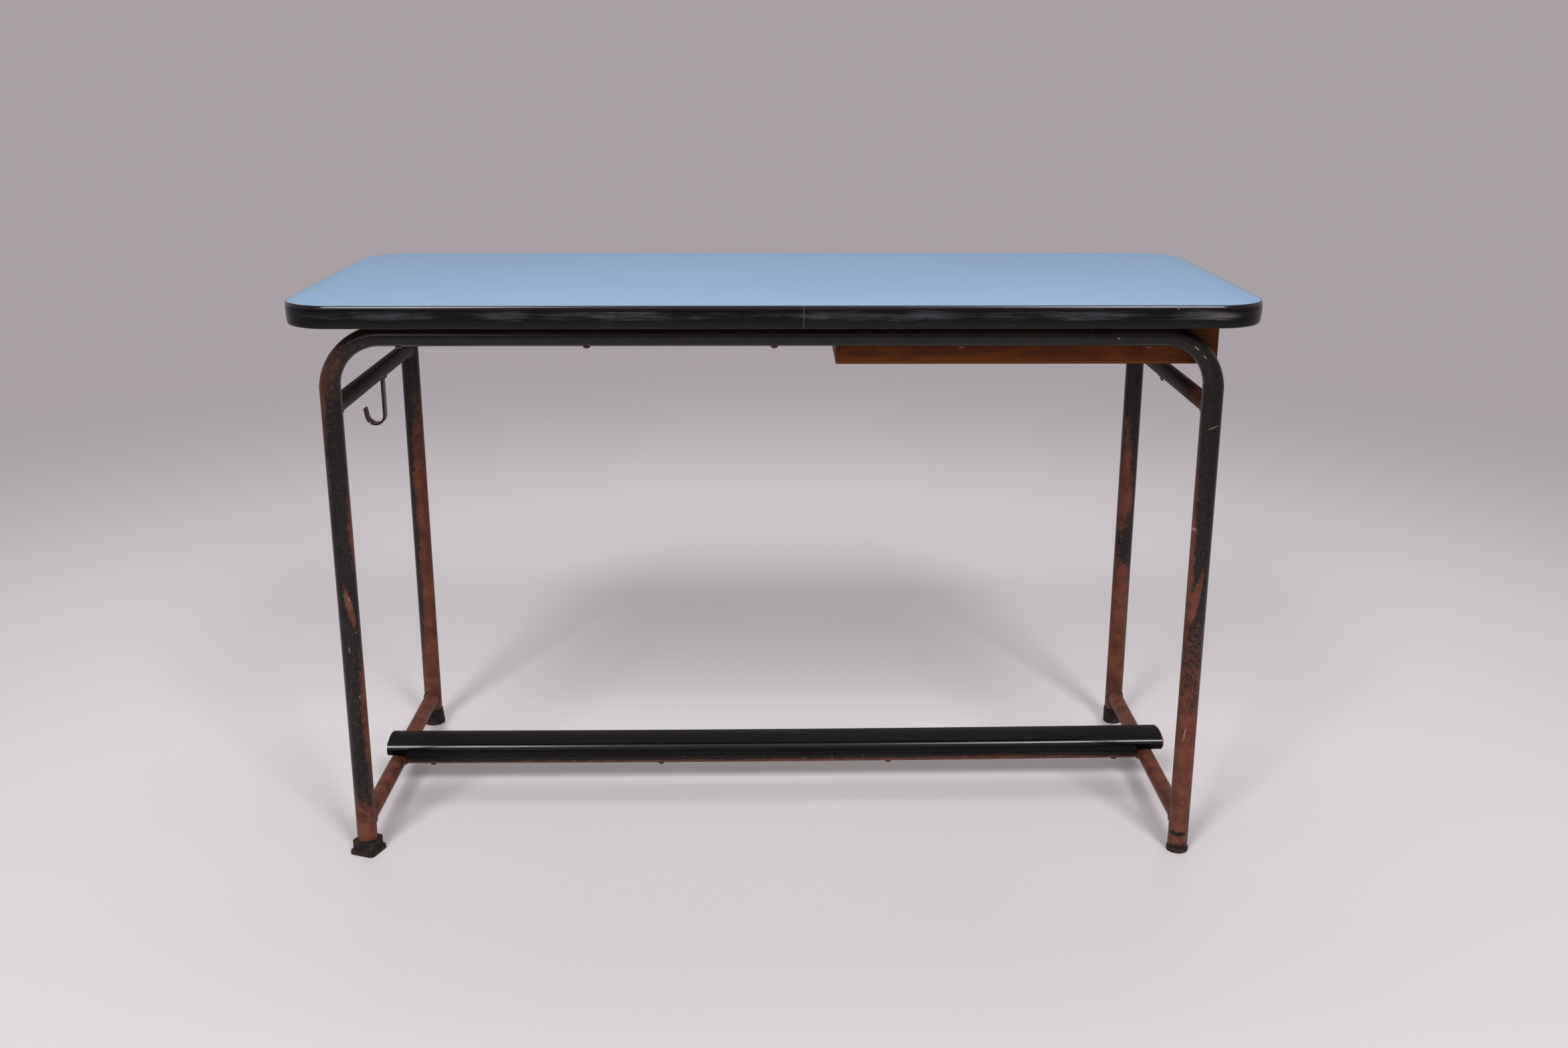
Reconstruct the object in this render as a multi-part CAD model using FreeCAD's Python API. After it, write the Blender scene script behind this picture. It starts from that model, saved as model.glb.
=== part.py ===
import FreeCAD, Part
import math
import os

# Double school desk. Millimetres, +Z up, +X to the right, the closed side of the shelf towards -Y.
# The origin is on the floor under the middle of the top.

Vector = FreeCAD.Vector
UP = Vector(0, 0, 1)

# The desk as a whole
desk_length = 1200
desk_depth = 522
desk_height = 735

# The top: a core board between a laminate and a backing sheet
top_thickness = 28
corner_radius = 65
laminate_thickness = 1
backing_thickness = 0.8

# The plastic band round the top, held by a barbed tongue in a saw groove
band_bulge = 4.5
band_shoulder = 4.5
band_taper = 2
tongue_length = 9
tongue_thickness = 2
barb_height = 0.5
barb_count = 2
groove_spare = 1
seam_x = 38
seam_gap = 0.5

# The frame: two hoops of bent tube, joined by thinner side rails
leg_spacing_x = 1082
leg_spacing_y = 425
frame_y = -15
hoop_diameter = 26
hoop_wall = 1.5
hoop_bend_radius = 64
rail_diameter = 22
rail_wall = 1.5
upper_rail_clearance = 15
lower_rail_clearance = 9.5
weld_size = 2.5
weld_length = 15

# The footrest: a slat in a plastic cover on a cross tube, which is welded a little out of square
footrest_length = 1117
footrest_shift_x = 4
footrest_shift_y = 0.5
footrest_skew_deg = 0.85
footrest_width = 57
footrest_height = 20.5
footrest_crown = 3
footrest_nose_radius = 9
footrest_draw_in = 3
footrest_flank_share = 0.3
cover_thickness = 2
cover_lip = 8
cover_shrinkage = 3.4
cross_tube_lead = 3

# The bag hook, and the stub of its broken twin
hook_width = 15
hook_thickness = 3
hook_inner_radius = 11
hook_sweep_deg = 170
hook_tip_length = 11
hook_drop = 68
hook_y = 28
stub_drop = 4
stub_outline_shares = [
    (-0.5, 0.5), (-0.42, 1), (-0.3, 0.8), (-0.18, 0.25), (0.2, 0.3), (0.34, 0.85), (0.5, 0.6),
]

# The shelf box under the right half of the top
shelf_left_x = 78
shelf_length = 469
shelf_rear_gap = 68
shelf_height = 51
shelf_board = 10
shelf_floor = 4
shelf_gap = 1
cleat_size = 16
cleat_inset = 12

# The feet
sole_thickness = 7
ferrule_height = 24
ferrule_wall = 1.1
ferrule_flare = 2.2
ferrule_skirt = 12
plug_rim = 1.2
plug_stem_length = 24
block_width = 36
block_flange = 6
block_height = 20
block_tier_width = 29
block_corner = 4
block_turn_deg = -20

# Clearances
fit_gap = 0.1
overrun = 5

# Places that several pieces share
top_underside = desk_height - top_thickness
hoop_top_height = top_underside - hoop_diameter / 2
bend_height = hoop_top_height - hoop_bend_radius
upper_rail_height = bend_height - upper_rail_clearance - rail_diameter / 2
lower_rail_height = ferrule_height + lower_rail_clearance + rail_diameter / 2
front_y = frame_y - leg_spacing_y / 2
rear_y = frame_y + leg_spacing_y / 2
left_x = -leg_spacing_x / 2
right_x = leg_spacing_x / 2
board_half_x = desk_length / 2 - band_bulge
board_half_y = desk_depth / 2 - band_bulge
board_radius = corner_radius - band_bulge
core_bottom = top_underside + backing_thickness
core_top = desk_height - laminate_thickness
footrest_underside = lower_rail_height + rail_diameter / 2
shelf_right_x = shelf_left_x + shelf_length
shelf_front_y = front_y + hoop_diameter / 2 + shelf_gap
shelf_rear_y = rear_y - hoop_diameter / 2 - shelf_rear_gap
shelf_bottom = top_underside - shelf_height

parts = {}


def box(low, high):
    """A block between two opposite corners."""
    size = high - low
    return Part.makeBox(size.x, size.y, size.z, low)


def rod(start, end, radius):
    """A solid round bar between two points."""
    along = end - start
    return Part.makeCylinder(radius, along.Length, start, along)


def polar(centre, radius, degrees, side, up):
    """A point on a circle, measured from the side direction towards the up direction."""
    angle = math.radians(degrees)
    return centre + side * (radius * math.cos(angle)) + up * (radius * math.sin(angle))


def arc(centre, radius, start_deg, end_deg, side, up):
    """A round edge about a centre."""
    angles = (start_deg, (start_deg + end_deg) / 2, end_deg)
    start, middle, end = [polar(centre, radius, angle, side, up) for angle in angles]
    return Part.Arc(start, middle, end).toShape()


def line(start, end):
    return Part.LineSegment(start, end).toShape()


def chain(points):
    """Straight edges from point to point."""
    return [line(start, end) for start, end in zip(points, points[1:])]


def prism(edges, along):
    """The solid that a closed outline sweeps along a straight line."""
    return Part.Face(Part.Wire(edges)).extrude(along)


def turned(edges, centre):
    """The solid that a closed outline beside the Z axis sweeps round an upright axis."""
    return Part.Face(Part.Wire(edges)).revolve(centre, UP, 360)


def plan_corners(half_x, half_y, radius, z):
    """The four round corners of an outline in plan, anticlockwise from the front right."""
    side = Vector(1, 0, 0)
    forward = Vector(0, 1, 0)
    signs = ((1, -1), (1, 1), (-1, 1), (-1, -1))
    corners = []
    for turn, (sign_x, sign_y) in enumerate(signs):
        centre = Vector(sign_x * (half_x - radius), sign_y * (half_y - radius), z)
        corners.append(arc(centre, radius, 90 * turn - 90, 90 * turn, side, forward))
    return corners


def joined_corners(corners):
    """Corners with the straight sides between them, open at the last side."""
    edges = [corners[0]]
    for before, after in zip(corners, corners[1:]):
        edges.append(line(before.Vertexes[-1].Point, after.Vertexes[0].Point))
        edges.append(after)
    return edges


def rounded_plate(half_x, half_y, radius, bottom, top):
    """A flat plate with round corners, centred on the Z axis."""
    corners = plan_corners(half_x, half_y, radius, bottom)
    edges = joined_corners(corners)
    edges.append(line(corners[-1].Vertexes[-1].Point, corners[0].Vertexes[0].Point))
    return prism(edges, UP * (top - bottom))


def sweep(path, section):
    """The solid that a closed section sweeps along a smooth path."""
    return Part.Wire(path).makePipeShell([Part.Wire(section)], True, False)


def pipe(path, diameter, wall, start, direction):
    """A bent tube, open at both ends."""
    outside = sweep(path, [Part.makeCircle(diameter / 2, start, direction)])
    inside = sweep(path, [Part.makeCircle(diameter / 2 - wall, start, direction)])
    return outside.cut(inside)


def straight_tube(start, end, diameter, wall):
    """A straight tube, open at both ends."""
    return rod(start, end, diameter / 2).cut(rod(start, end, diameter / 2 - wall))


# The two hoops: each is two legs and the bar under the top, bent from one tube

def hoop(y):
    side = Vector(1, 0, 0)
    left_centre = Vector(left_x + hoop_bend_radius, y, bend_height)
    right_centre = Vector(right_x - hoop_bend_radius, y, bend_height)
    start = Vector(left_x, y, sole_thickness)
    path = [
        line(start, Vector(left_x, y, bend_height)),
        arc(left_centre, hoop_bend_radius, 180, 90, side, UP),
        line(left_centre + UP * hoop_bend_radius, right_centre + UP * hoop_bend_radius),
        arc(right_centre, hoop_bend_radius, 90, 0, side, UP),
        line(Vector(right_x, y, bend_height), Vector(right_x, y, sole_thickness)),
    ]
    return pipe(path, hoop_diameter, hoop_wall, start, UP)


parts["front_hoop"] = hoop(front_y)
parts["rear_hoop"] = hoop(rear_y)


# The side rails, coped to fit round the legs, and their welds

def leg_rod(x, y, radius):
    """The space that a leg takes, as a solid bar."""
    return rod(Vector(x, y, 0), Vector(x, y, hoop_top_height), radius)


def side_rail(x, height):
    start = Vector(x, front_y, height)
    end = Vector(x, rear_y, height)
    tube = straight_tube(start, end, rail_diameter, rail_wall)
    cope_radius = hoop_diameter / 2 + fit_gap
    return tube.cut([leg_rod(x, front_y, cope_radius), leg_rod(x, rear_y, cope_radius)])


def weld_bead(joint, inward, outward, post_start, post_end, post_radius):
    """A short bead on one side of a rail, in the corner where the rail's end meets a round post."""
    reach = post_radius + weld_size
    rail_end = joint + inward * reach
    bead = rod(joint, rail_end, rail_diameter / 2 + weld_size)
    bead = bead.common(rod(post_start, post_end, reach))
    post = rod(post_start, post_end, post_radius + fit_gap)
    bead = bead.cut([post, rod(joint, rail_end, rail_diameter / 2 + fit_gap)])
    half = inward.cross(UP) * (weld_length / 2)
    side = chain([joint - half, joint + half, rail_end + half, rail_end - half, joint - half])
    return bead.common(prism(side, outward * rail_diameter))


def leg_welds(x, y, height, inward):
    """Beads above and below the end of a side rail."""
    reach = UP * (rail_diameter + weld_size)
    joint = Vector(x, y, height)
    post = (joint - reach, joint + reach, hoop_diameter / 2)
    return [weld_bead(joint, inward, outward, *post) for outward in (UP, -UP)]


welds = []
for side_name, x in (("left", left_x), ("right", right_x)):
    for level, height in (("upper", upper_rail_height), ("lower", lower_rail_height)):
        parts[f"{level}_rail_{side_name}"] = side_rail(x, height)
        welds += leg_welds(x, front_y, height, Vector(0, 1, 0))
        welds += leg_welds(x, rear_y, height, Vector(0, -1, 0))
parts["rail_welds"] = Part.makeCompound(welds)


# The bag hook under the left upper rail: a flat strip bent to a J that opens outwards

def rail_rod(x, height, radius):
    """The space that a side rail takes, as a solid bar."""
    return rod(Vector(x, front_y, height), Vector(x, rear_y, height), radius)


def bag_hook():
    side = Vector(1, 0, 0)
    inner = hook_inner_radius
    outer = hook_inner_radius + hook_thickness
    middle = inner + hook_thickness / 2
    near_y = hook_y - hook_width / 2
    lowest = upper_rail_height - rail_diameter / 2 - hook_drop
    centre = Vector(left_x - middle, near_y, lowest + outer)
    end_deg = -hook_sweep_deg
    along_tip = polar(Vector(0, 0, 0), hook_tip_length, end_deg - 90, side, UP)
    inner_end = polar(centre, inner, end_deg, side, UP) + along_tip
    outer_end = polar(centre, outer, end_deg, side, UP) + along_tip
    tip_centre = (inner_end + outer_end) * 0.5
    top_inner = Vector(centre.x + inner, near_y, upper_rail_height)
    top_outer = Vector(centre.x + outer, near_y, upper_rail_height)
    edges = [
        line(top_inner, polar(centre, inner, 0, side, UP)),
        arc(centre, inner, 0, end_deg, side, UP),
        line(polar(centre, inner, end_deg, side, UP), inner_end),
        arc(tip_centre, hook_thickness / 2, end_deg, end_deg - 180, side, UP),
        line(outer_end, polar(centre, outer, end_deg, side, UP)),
        arc(centre, outer, end_deg, 0, side, UP),
        line(polar(centre, outer, 0, side, UP), top_outer),
        line(top_outer, top_inner),
    ]
    strip = prism(edges, Vector(0, hook_width, 0))
    return strip.cut(rail_rod(left_x, upper_rail_height, rail_diameter / 2 + fit_gap))


def hook_stub():
    """The torn root of the twin hook: two ragged teeth below the rail."""
    underside = upper_rail_height - rail_diameter / 2
    x = right_x - hook_thickness / 2
    points = [Vector(x, hook_y - hook_width / 2, upper_rail_height)]
    for across_share, drop_share in stub_outline_shares:
        points.append(Vector(x, hook_y + across_share * hook_width, underside - drop_share * stub_drop))
    points.append(Vector(x, hook_y + hook_width / 2, upper_rail_height))
    points.append(points[0])
    root = prism(chain(points), Vector(hook_thickness, 0, 0))
    return root.cut(rail_rod(right_x, upper_rail_height, rail_diameter / 2 + fit_gap))


def hook_weld(x):
    """Two beads, one on each flat of the strip where it meets the rail."""
    underside = upper_rail_height - rail_diameter / 2
    beads = []
    for sign in (-1, 1):
        middle_x = x + sign * (hook_thickness / 2 + fit_gap + weld_size / 2)
        low = Vector(middle_x - weld_size / 2, hook_y - hook_width / 2, underside - weld_size / 2)
        high = low + Vector(weld_size, hook_width, rail_diameter / 2)
        bead = box(low, high).cut(rail_rod(x, upper_rail_height, rail_diameter / 2 + fit_gap))
        beads.append(bead.common(rail_rod(x, upper_rail_height, rail_diameter / 2 + weld_size / 2)))
    return beads


parts["bag_hook"] = bag_hook()
parts["hook_stub"] = hook_stub()
parts["hook_welds"] = Part.makeCompound(hook_weld(left_x) + hook_weld(right_x))


# The footrest. It is laid out square, about its own middle, and then turned into place

footrest_place = FreeCAD.Placement(
    Vector(0, frame_y + footrest_shift_y, 0),
    FreeCAD.Rotation(UP, footrest_skew_deg),
)


def placed(shape):
    """A piece of the footrest, turned to where it is on the desk."""
    moved = shape.copy()
    moved.Placement = footrest_place
    return moved


def footrest_section(x, inset, bottom, foot_half):
    """The slat's crowned section, seen along its length, drawn in all round by an inset."""
    across = Vector(0, 1, 0)
    half = footrest_width / 2 - inset
    nose = footrest_nose_radius - inset
    nose_height = footrest_underside + footrest_height - footrest_crown - footrest_nose_radius
    crown_height = footrest_underside + footrest_height - inset
    rear_nose = Vector(x, half - nose, nose_height)
    front_nose = Vector(x, nose - half, nose_height)
    rear_foot = Vector(x, foot_half, bottom)
    front_foot = Vector(x, -foot_half, bottom)
    flank_height = (bottom + nose_height) / 2
    flank_half = half - (half - foot_half) * footrest_flank_share
    return [
        Part.Arc(rear_foot, Vector(x, flank_half, flank_height), Vector(x, half, nose_height)).toShape(),
        arc(rear_nose, nose, 0, 90, across, UP),
        Part.Arc(rear_nose + UP * nose, Vector(x, 0, crown_height), front_nose + UP * nose).toShape(),
        arc(front_nose, nose, 90, 180, across, UP),
        Part.Arc(Vector(x, -half, nose_height), Vector(x, -flank_half, flank_height), front_foot).toShape(),
        line(front_foot, rear_foot),
    ]


def slat(inset, start_x, end_x, bottom):
    """The crowned bar between two stations along the footrest."""
    foot_half = footrest_width / 2 - footrest_draw_in - inset
    section = footrest_section(start_x, inset, bottom, foot_half)
    return prism(section, Vector(end_x - start_x, 0, 0))


footrest_left = footrest_shift_x - footrest_length / 2
footrest_right = footrest_shift_x + footrest_length / 2
lip_inner_half = footrest_width / 2 - footrest_draw_in - cover_lip
lip_top = footrest_underside + cover_thickness


def footrest_cover():
    """A plastic profile that wraps the slat and grips it with a lip under each edge."""
    outside = slat(0, footrest_left, footrest_right, footrest_underside)
    hollow = slat(cover_thickness, footrest_left - overrun, footrest_right + overrun, lip_top)
    mouth = box(
        Vector(footrest_left - overrun, -lip_inner_half, footrest_underside - overrun),
        Vector(footrest_right + overrun, lip_inner_half, lip_top + overrun),
    )
    return outside.cut([hollow, mouth])


def footrest_board():
    """The wooden slat. The cover has shrunk, so its right end stands bare."""
    end = footrest_right + cover_shrinkage
    body = slat(cover_thickness + fit_gap, footrest_left, end, lip_top + fit_gap)
    sole = box(
        Vector(footrest_left, fit_gap - lip_inner_half, footrest_underside),
        Vector(end, lip_inner_half - fit_gap, lip_top + overrun),
    )
    return body.fuse(sole).removeSplitter()


def cross_tube_end(sign):
    """Where the cross tube's axis meets a lower rail's axis, in the footrest's own layout."""
    skew = math.radians(footrest_skew_deg)
    x = (sign * leg_spacing_x / 2 - cross_tube_lead * math.sin(skew)) / math.cos(skew)
    return Vector(x, -cross_tube_lead, lower_rail_height)


def cross_tube():
    """The tube under the slat, coped to fit between the lower rails."""
    tube = straight_tube(cross_tube_end(-1), cross_tube_end(1), rail_diameter, rail_wall)
    cope_radius = rail_diameter / 2 + fit_gap
    rails = [rail_rod(x, lower_rail_height, cope_radius) for x in (left_x, right_x)]
    return placed(tube).cut(rails)


def cross_tube_welds():
    """A bead under each end of the cross tube. The slat leaves no room for one above."""
    beads = []
    for sign in (-1, 1):
        joint = footrest_place.multVec(cross_tube_end(sign))
        inward = footrest_place.Rotation.multVec(Vector(-sign, 0, 0))
        reach = Vector(0, rail_diameter + weld_size, 0)
        beads.append(weld_bead(joint, inward, -UP, joint - reach, joint + reach, rail_diameter / 2))
    return beads


parts["footrest_tube"] = cross_tube()
parts["footrest_tube_welds"] = Part.makeCompound(cross_tube_welds())
parts["footrest_board"] = placed(footrest_board())
parts["footrest_cover"] = placed(footrest_cover())


# The shelf: a shallow box that hangs under the top and opens towards the pupils

cleat_bottom = top_underside - cleat_size
inner_left_x = shelf_left_x + shelf_board
inner_right_x = shelf_right_x - shelf_board
inner_front_y = shelf_front_y + shelf_board
wall_bottom = shelf_bottom + shelf_floor


parts["shelf_front"] = box(
    Vector(shelf_left_x, shelf_front_y, wall_bottom),
    Vector(shelf_right_x, inner_front_y, top_underside),
)
for name, low_x in (("shelf_wall_left", shelf_left_x), ("shelf_wall_right", inner_right_x)):
    parts[name] = box(
        Vector(low_x, inner_front_y, wall_bottom),
        Vector(low_x + shelf_board, shelf_rear_y, top_underside),
    )
parts["shelf_floor"] = box(
    Vector(shelf_left_x, shelf_front_y, shelf_bottom),
    Vector(shelf_right_x, shelf_rear_y, wall_bottom),
)
for name, low_x in (("shelf_cleat_left", inner_left_x), ("shelf_cleat_right", inner_right_x - cleat_size)):
    parts[name] = box(
        Vector(low_x, inner_front_y + cleat_size + fit_gap, cleat_bottom),
        Vector(low_x + cleat_size, shelf_rear_y - cleat_inset, top_underside),
    )
parts["shelf_cleat_front"] = box(
    Vector(inner_left_x, inner_front_y, cleat_bottom),
    Vector(inner_right_x, inner_front_y + cleat_size, top_underside),
)


# The top: sheets and core of one outline, grooved round the edge for the band's tongue

groove_height = (core_bottom + core_top) / 2
tongue_half = tongue_thickness / 2
groove_half = tongue_half + barb_height + fit_gap
groove_depth = tongue_length + groove_spare


def top_board(bottom, top):
    return rounded_plate(board_half_x, board_half_y, board_radius, bottom, top)


def edge_groove():
    """A saw kerf that runs right round the core's edge."""
    low = groove_height - groove_half
    high = groove_height + groove_half
    outer = rounded_plate(board_half_x + overrun, board_half_y + overrun, board_radius + overrun, low, high)
    left_in = rounded_plate(
        board_half_x - groove_depth, board_half_y - groove_depth, board_radius - groove_depth, low, high)
    return outer.cut(left_in)


parts["top_laminate"] = top_board(core_top, desk_height)
parts["top_panel"] = top_board(core_bottom, core_top).cut(edge_groove())
parts["top_backing"] = top_board(top_underside, core_bottom)


# The band: one strip round the top, butted together at the front

def band_section(x):
    """The band's section at its seam, where outwards is towards -Y."""
    out = Vector(0, -1, 0)
    edge = Vector(x, -board_half_y, desk_height)
    heel = band_bulge - band_taper
    face_drop = top_thickness - band_shoulder - heel
    face_radius = (face_drop ** 2 + band_taper ** 2) / (2 * band_taper)
    face_deg = math.degrees(math.asin(face_drop / face_radius))
    shoulder_centre = edge - UP * band_shoulder
    heel_centre = edge - UP * (top_thickness - heel)
    back = edge + out * fit_gap
    face_top = shoulder_centre + out * band_bulge
    middle = edge - UP * (desk_height - groove_height)
    shoulder = Part.Arc(
        back,
        shoulder_centre + (out * band_bulge + UP * band_shoulder) * math.sqrt(1 / 2),
        face_top,
    ).toShape()
    face = arc(face_top - out * face_radius, face_radius, 0, -face_deg, out, UP)
    back_bottom = heel_centre - UP * heel + out * fit_gap
    tongue = tongue_points(middle, out, -1)
    upper_tongue = tongue_points(middle, out, 1)
    inner = chain([back_bottom] + tongue + upper_tongue[::-1] + [back])
    chamfer = line(heel_centre + out * heel, back_bottom)
    return [shoulder, face, chamfer] + inner


def tongue_points(middle, out, sign):
    """One side of the tongue from its root to its tip, with its barbs."""
    root = out * fit_gap
    points = [middle + root + UP * (sign * tongue_half)]
    barb_length = tongue_length / (barb_count + 1)
    for index in range(barb_count, 0, -1):
        behind = middle - out * (tongue_length - index * barb_length)
        points.append(behind + UP * (sign * tongue_half))
        points.append(behind + UP * (sign * (tongue_half + barb_height)))
    points.append(middle - out * tongue_length + UP * (sign * tongue_half))
    return points


def edge_band():
    corners = plan_corners(board_half_x, board_half_y, board_radius, desk_height)
    start = Vector(seam_x + seam_gap / 2, -board_half_y, desk_height)
    end = Vector(seam_x - seam_gap / 2, -board_half_y, desk_height)
    first = line(start, corners[0].Vertexes[0].Point)
    last = line(corners[-1].Vertexes[-1].Point, end)
    path = [first] + joined_corners(corners) + [last]
    return sweep(path, band_section(start.x))


parts["edge_band"] = edge_band()


# The feet: two rubber cups, a plug, and a square block that replaced one of them

def ferrule(x, y, flare):
    """A rubber cup round the end of a leg, with a skirt that is wider at its foot by the flare."""
    side = Vector(1, 0, 0)
    centre = Vector(x, y, 0)
    bore = side * (hoop_diameter / 2 + fit_gap)
    rim = bore + side * ferrule_wall
    outline = chain([
        centre,
        centre + rim + side * flare,
        centre + rim + UP * ferrule_skirt,
        centre + rim + UP * ferrule_height,
        centre + bore + UP * ferrule_height,
        centre + bore + UP * sole_thickness,
        centre + UP * sole_thickness,
        centre,
    ])
    return turned(outline, centre).removeSplitter()


def plug(x, y):
    """A foot whose stem goes up inside the leg, so that only its low rim shows."""
    side = Vector(1, 0, 0)
    centre = Vector(x, y, 0)
    rim = side * (hoop_diameter / 2 + plug_rim)
    stem = side * (hoop_diameter / 2 - hoop_wall - fit_gap)
    top = UP * (sole_thickness + plug_stem_length)
    outline = chain([
        centre,
        centre + rim,
        centre + rim + UP * sole_thickness,
        centre + stem + UP * sole_thickness,
        centre + stem + top,
        centre + top,
        centre,
    ])
    return turned(outline, centre)


def square_block(x, y):
    """A square stepped foot with a flange, turned a little on the leg."""
    flange = rounded_plate(block_width / 2, block_width / 2, block_corner, 0, block_flange)
    upper = rounded_plate(block_tier_width / 2, block_tier_width / 2, block_corner, 0, block_height)
    block = flange.fuse(upper).removeSplitter()
    block.rotate(Vector(0, 0, 0), UP, block_turn_deg)
    block.translate(Vector(x, y, 0))
    bore = rod(
        Vector(x, y, sole_thickness), Vector(x, y, block_height + overrun), hoop_diameter / 2 + fit_gap)
    return block.cut(bore)


parts["foot_front_left"] = square_block(left_x, front_y)
parts["foot_rear_left"] = ferrule(left_x, rear_y, ferrule_flare)
parts["foot_rear_right"] = ferrule(right_x, rear_y, 0)
parts["foot_front_right"] = plug(right_x, front_y)


os.makedirs("parts", exist_ok=True)
for name, shape in parts.items():
    shape.exportStep(f"parts/{name}.step")
    print(f"{name}: {len(shape.Solids)} solids, {shape.Volume / 1000:.1f} cm3, valid {shape.isValid()}")
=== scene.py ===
# %% [markdown]
# # A double school desk
# The desk is built in a CAD program first, and this notebook dresses it. The CAD model is loaded
# as a fixed frame. Pieces whose shape is right keep it and only get a finish. Pieces whose edges,
# bends or welds should look finer are made again here, in the same place and at the same size.

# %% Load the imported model
import bmesh
import bpy
import math
from mathutils import Euler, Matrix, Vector


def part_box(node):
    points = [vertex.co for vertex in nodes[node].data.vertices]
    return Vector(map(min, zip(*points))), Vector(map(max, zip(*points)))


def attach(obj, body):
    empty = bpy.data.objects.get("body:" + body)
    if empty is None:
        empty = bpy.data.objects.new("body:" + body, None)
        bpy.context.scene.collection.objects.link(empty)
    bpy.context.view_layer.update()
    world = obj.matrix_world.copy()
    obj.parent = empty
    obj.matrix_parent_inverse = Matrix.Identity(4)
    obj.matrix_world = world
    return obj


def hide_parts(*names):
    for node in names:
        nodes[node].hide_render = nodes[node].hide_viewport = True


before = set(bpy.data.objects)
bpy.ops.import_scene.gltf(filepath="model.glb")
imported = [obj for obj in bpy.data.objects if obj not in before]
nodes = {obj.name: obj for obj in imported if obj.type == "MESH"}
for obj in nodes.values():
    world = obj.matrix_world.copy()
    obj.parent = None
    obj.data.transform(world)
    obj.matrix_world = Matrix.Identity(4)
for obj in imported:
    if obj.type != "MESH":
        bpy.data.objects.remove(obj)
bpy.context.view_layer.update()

MM = 0.001
UP = Vector((0, 0, 1))
print("pieces in the frame:", len(nodes))


def put(name, data):
    """A new object in the scene, from its mesh, lamp or camera."""
    thing = bpy.data.objects.new(name, data)
    bpy.context.scene.collection.objects.link(thing)
    return thing


# %% [markdown]
# ## The camera
# The photograph was taken with an ordinary lens a little above the desk, two metres in front of it.
# A camera could be placed by eye, but its place was worked out from the desk's own corners instead,
# so that every edge falls where the photograph has it.

# %% Place the camera
camera = put("camera", bpy.data.cameras.new("camera"))
camera.data.sensor_width = 36
camera.data.lens = 36.1456
camera.location = (0.005957, -2.123785, 1.020767)
tilt_down_deg, turn_deg = 16.610, -0.25668
camera.rotation_euler = Euler((math.radians(90 - tilt_down_deg), 0, math.radians(turn_deg)))
bpy.context.scene.camera = camera
print("camera at", [round(value, 2) for value in camera.location])

# %% [markdown]
# ## Nodes as plain sentences
# A material is a tree of nodes, and so is a Geometry Nodes shape. Adding a node always takes the
# same three steps: choose its kind, set its settings, then fill or link its inputs. One method does
# that. A Value wraps a number that changes over a surface, so that a mask can be written as a sum.

# %% A helper that adds nodes
class Tree:
    """A node tree that is written from top to bottom."""

    def __init__(self, tree):
        self.tree = tree

    def add(self, kind, inputs=None, stops=(), **settings):
        """A node of a kind, with its settings and then the values or links of its inputs."""
        node = self.tree.nodes.new(kind)
        for name, value in settings.items():
            setattr(node, name, value)
        for index, (place, colour) in enumerate(stops):
            ramp = node.color_ramp.elements
            stop = ramp[index] if index < len(ramp) else ramp.new(1)
            stop.position, stop.color = place, colour
        for key, value in (inputs or {}).items():
            source = getattr(value, "socket", value)
            if isinstance(source, bpy.types.Node):
                source = source.outputs[0]
            if isinstance(source, bpy.types.NodeSocket):
                self.tree.links.new(source, node.inputs[key])
            else:
                node.inputs[key].default_value = source
        return node

    def calc(self, operation, first, second=0):
        """What a Math node works out from one or two numbers."""
        node = self.add("ShaderNodeMath", {0: first, 1: second}, operation=operation)
        return Value(self, node.outputs[0])


def overload(operation, reflected=False):
    """What a sign between two numbers calls. Reflected, the plain number stands first."""
    def work(self, other):
        pair = (other, self) if reflected else (self, other)
        return self.tree.calc(operation, *pair)
    return work


class Value:
    """A number that changes over a surface."""

    def __init__(self, tree, socket):
        self.tree, self.socket = tree, socket

    __add__, __radd__ = overload("ADD"), overload("ADD", True)
    __sub__, __rsub__ = overload("SUBTRACT"), overload("SUBTRACT", True)
    __mul__, __rmul__ = overload("MULTIPLY"), overload("MULTIPLY", True)
    limit = overload("MAXIMUM")

    def size(self):
        return self.tree.calc("ABSOLUTE", self)

    def wave(self):
        return self.tree.calc("SINE", self)


print("helpers ready:", Tree.__name__, Value.__name__)

# %% [markdown]
# ## A finish
# Every finish here is procedural: it reads the piece's own coordinates, so it needs no picture and
# no unwrapping. The object sits at the origin, so those coordinates are places on the desk, and a
# worn patch can be put exactly where the photograph shows it.

# %% A class for finishes
def shade(red, green, blue):
    """A colour as a screen shows it, from 0 to 255, in the linear light that Blender works in."""
    channels = []
    for channel in (red, green, blue):
        level = channel / 255
        channels.append(level / 12.92 if level <= 0.04045 else ((level + 0.055) / 1.055) ** 2.4)
    return (*channels, 1)


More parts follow.
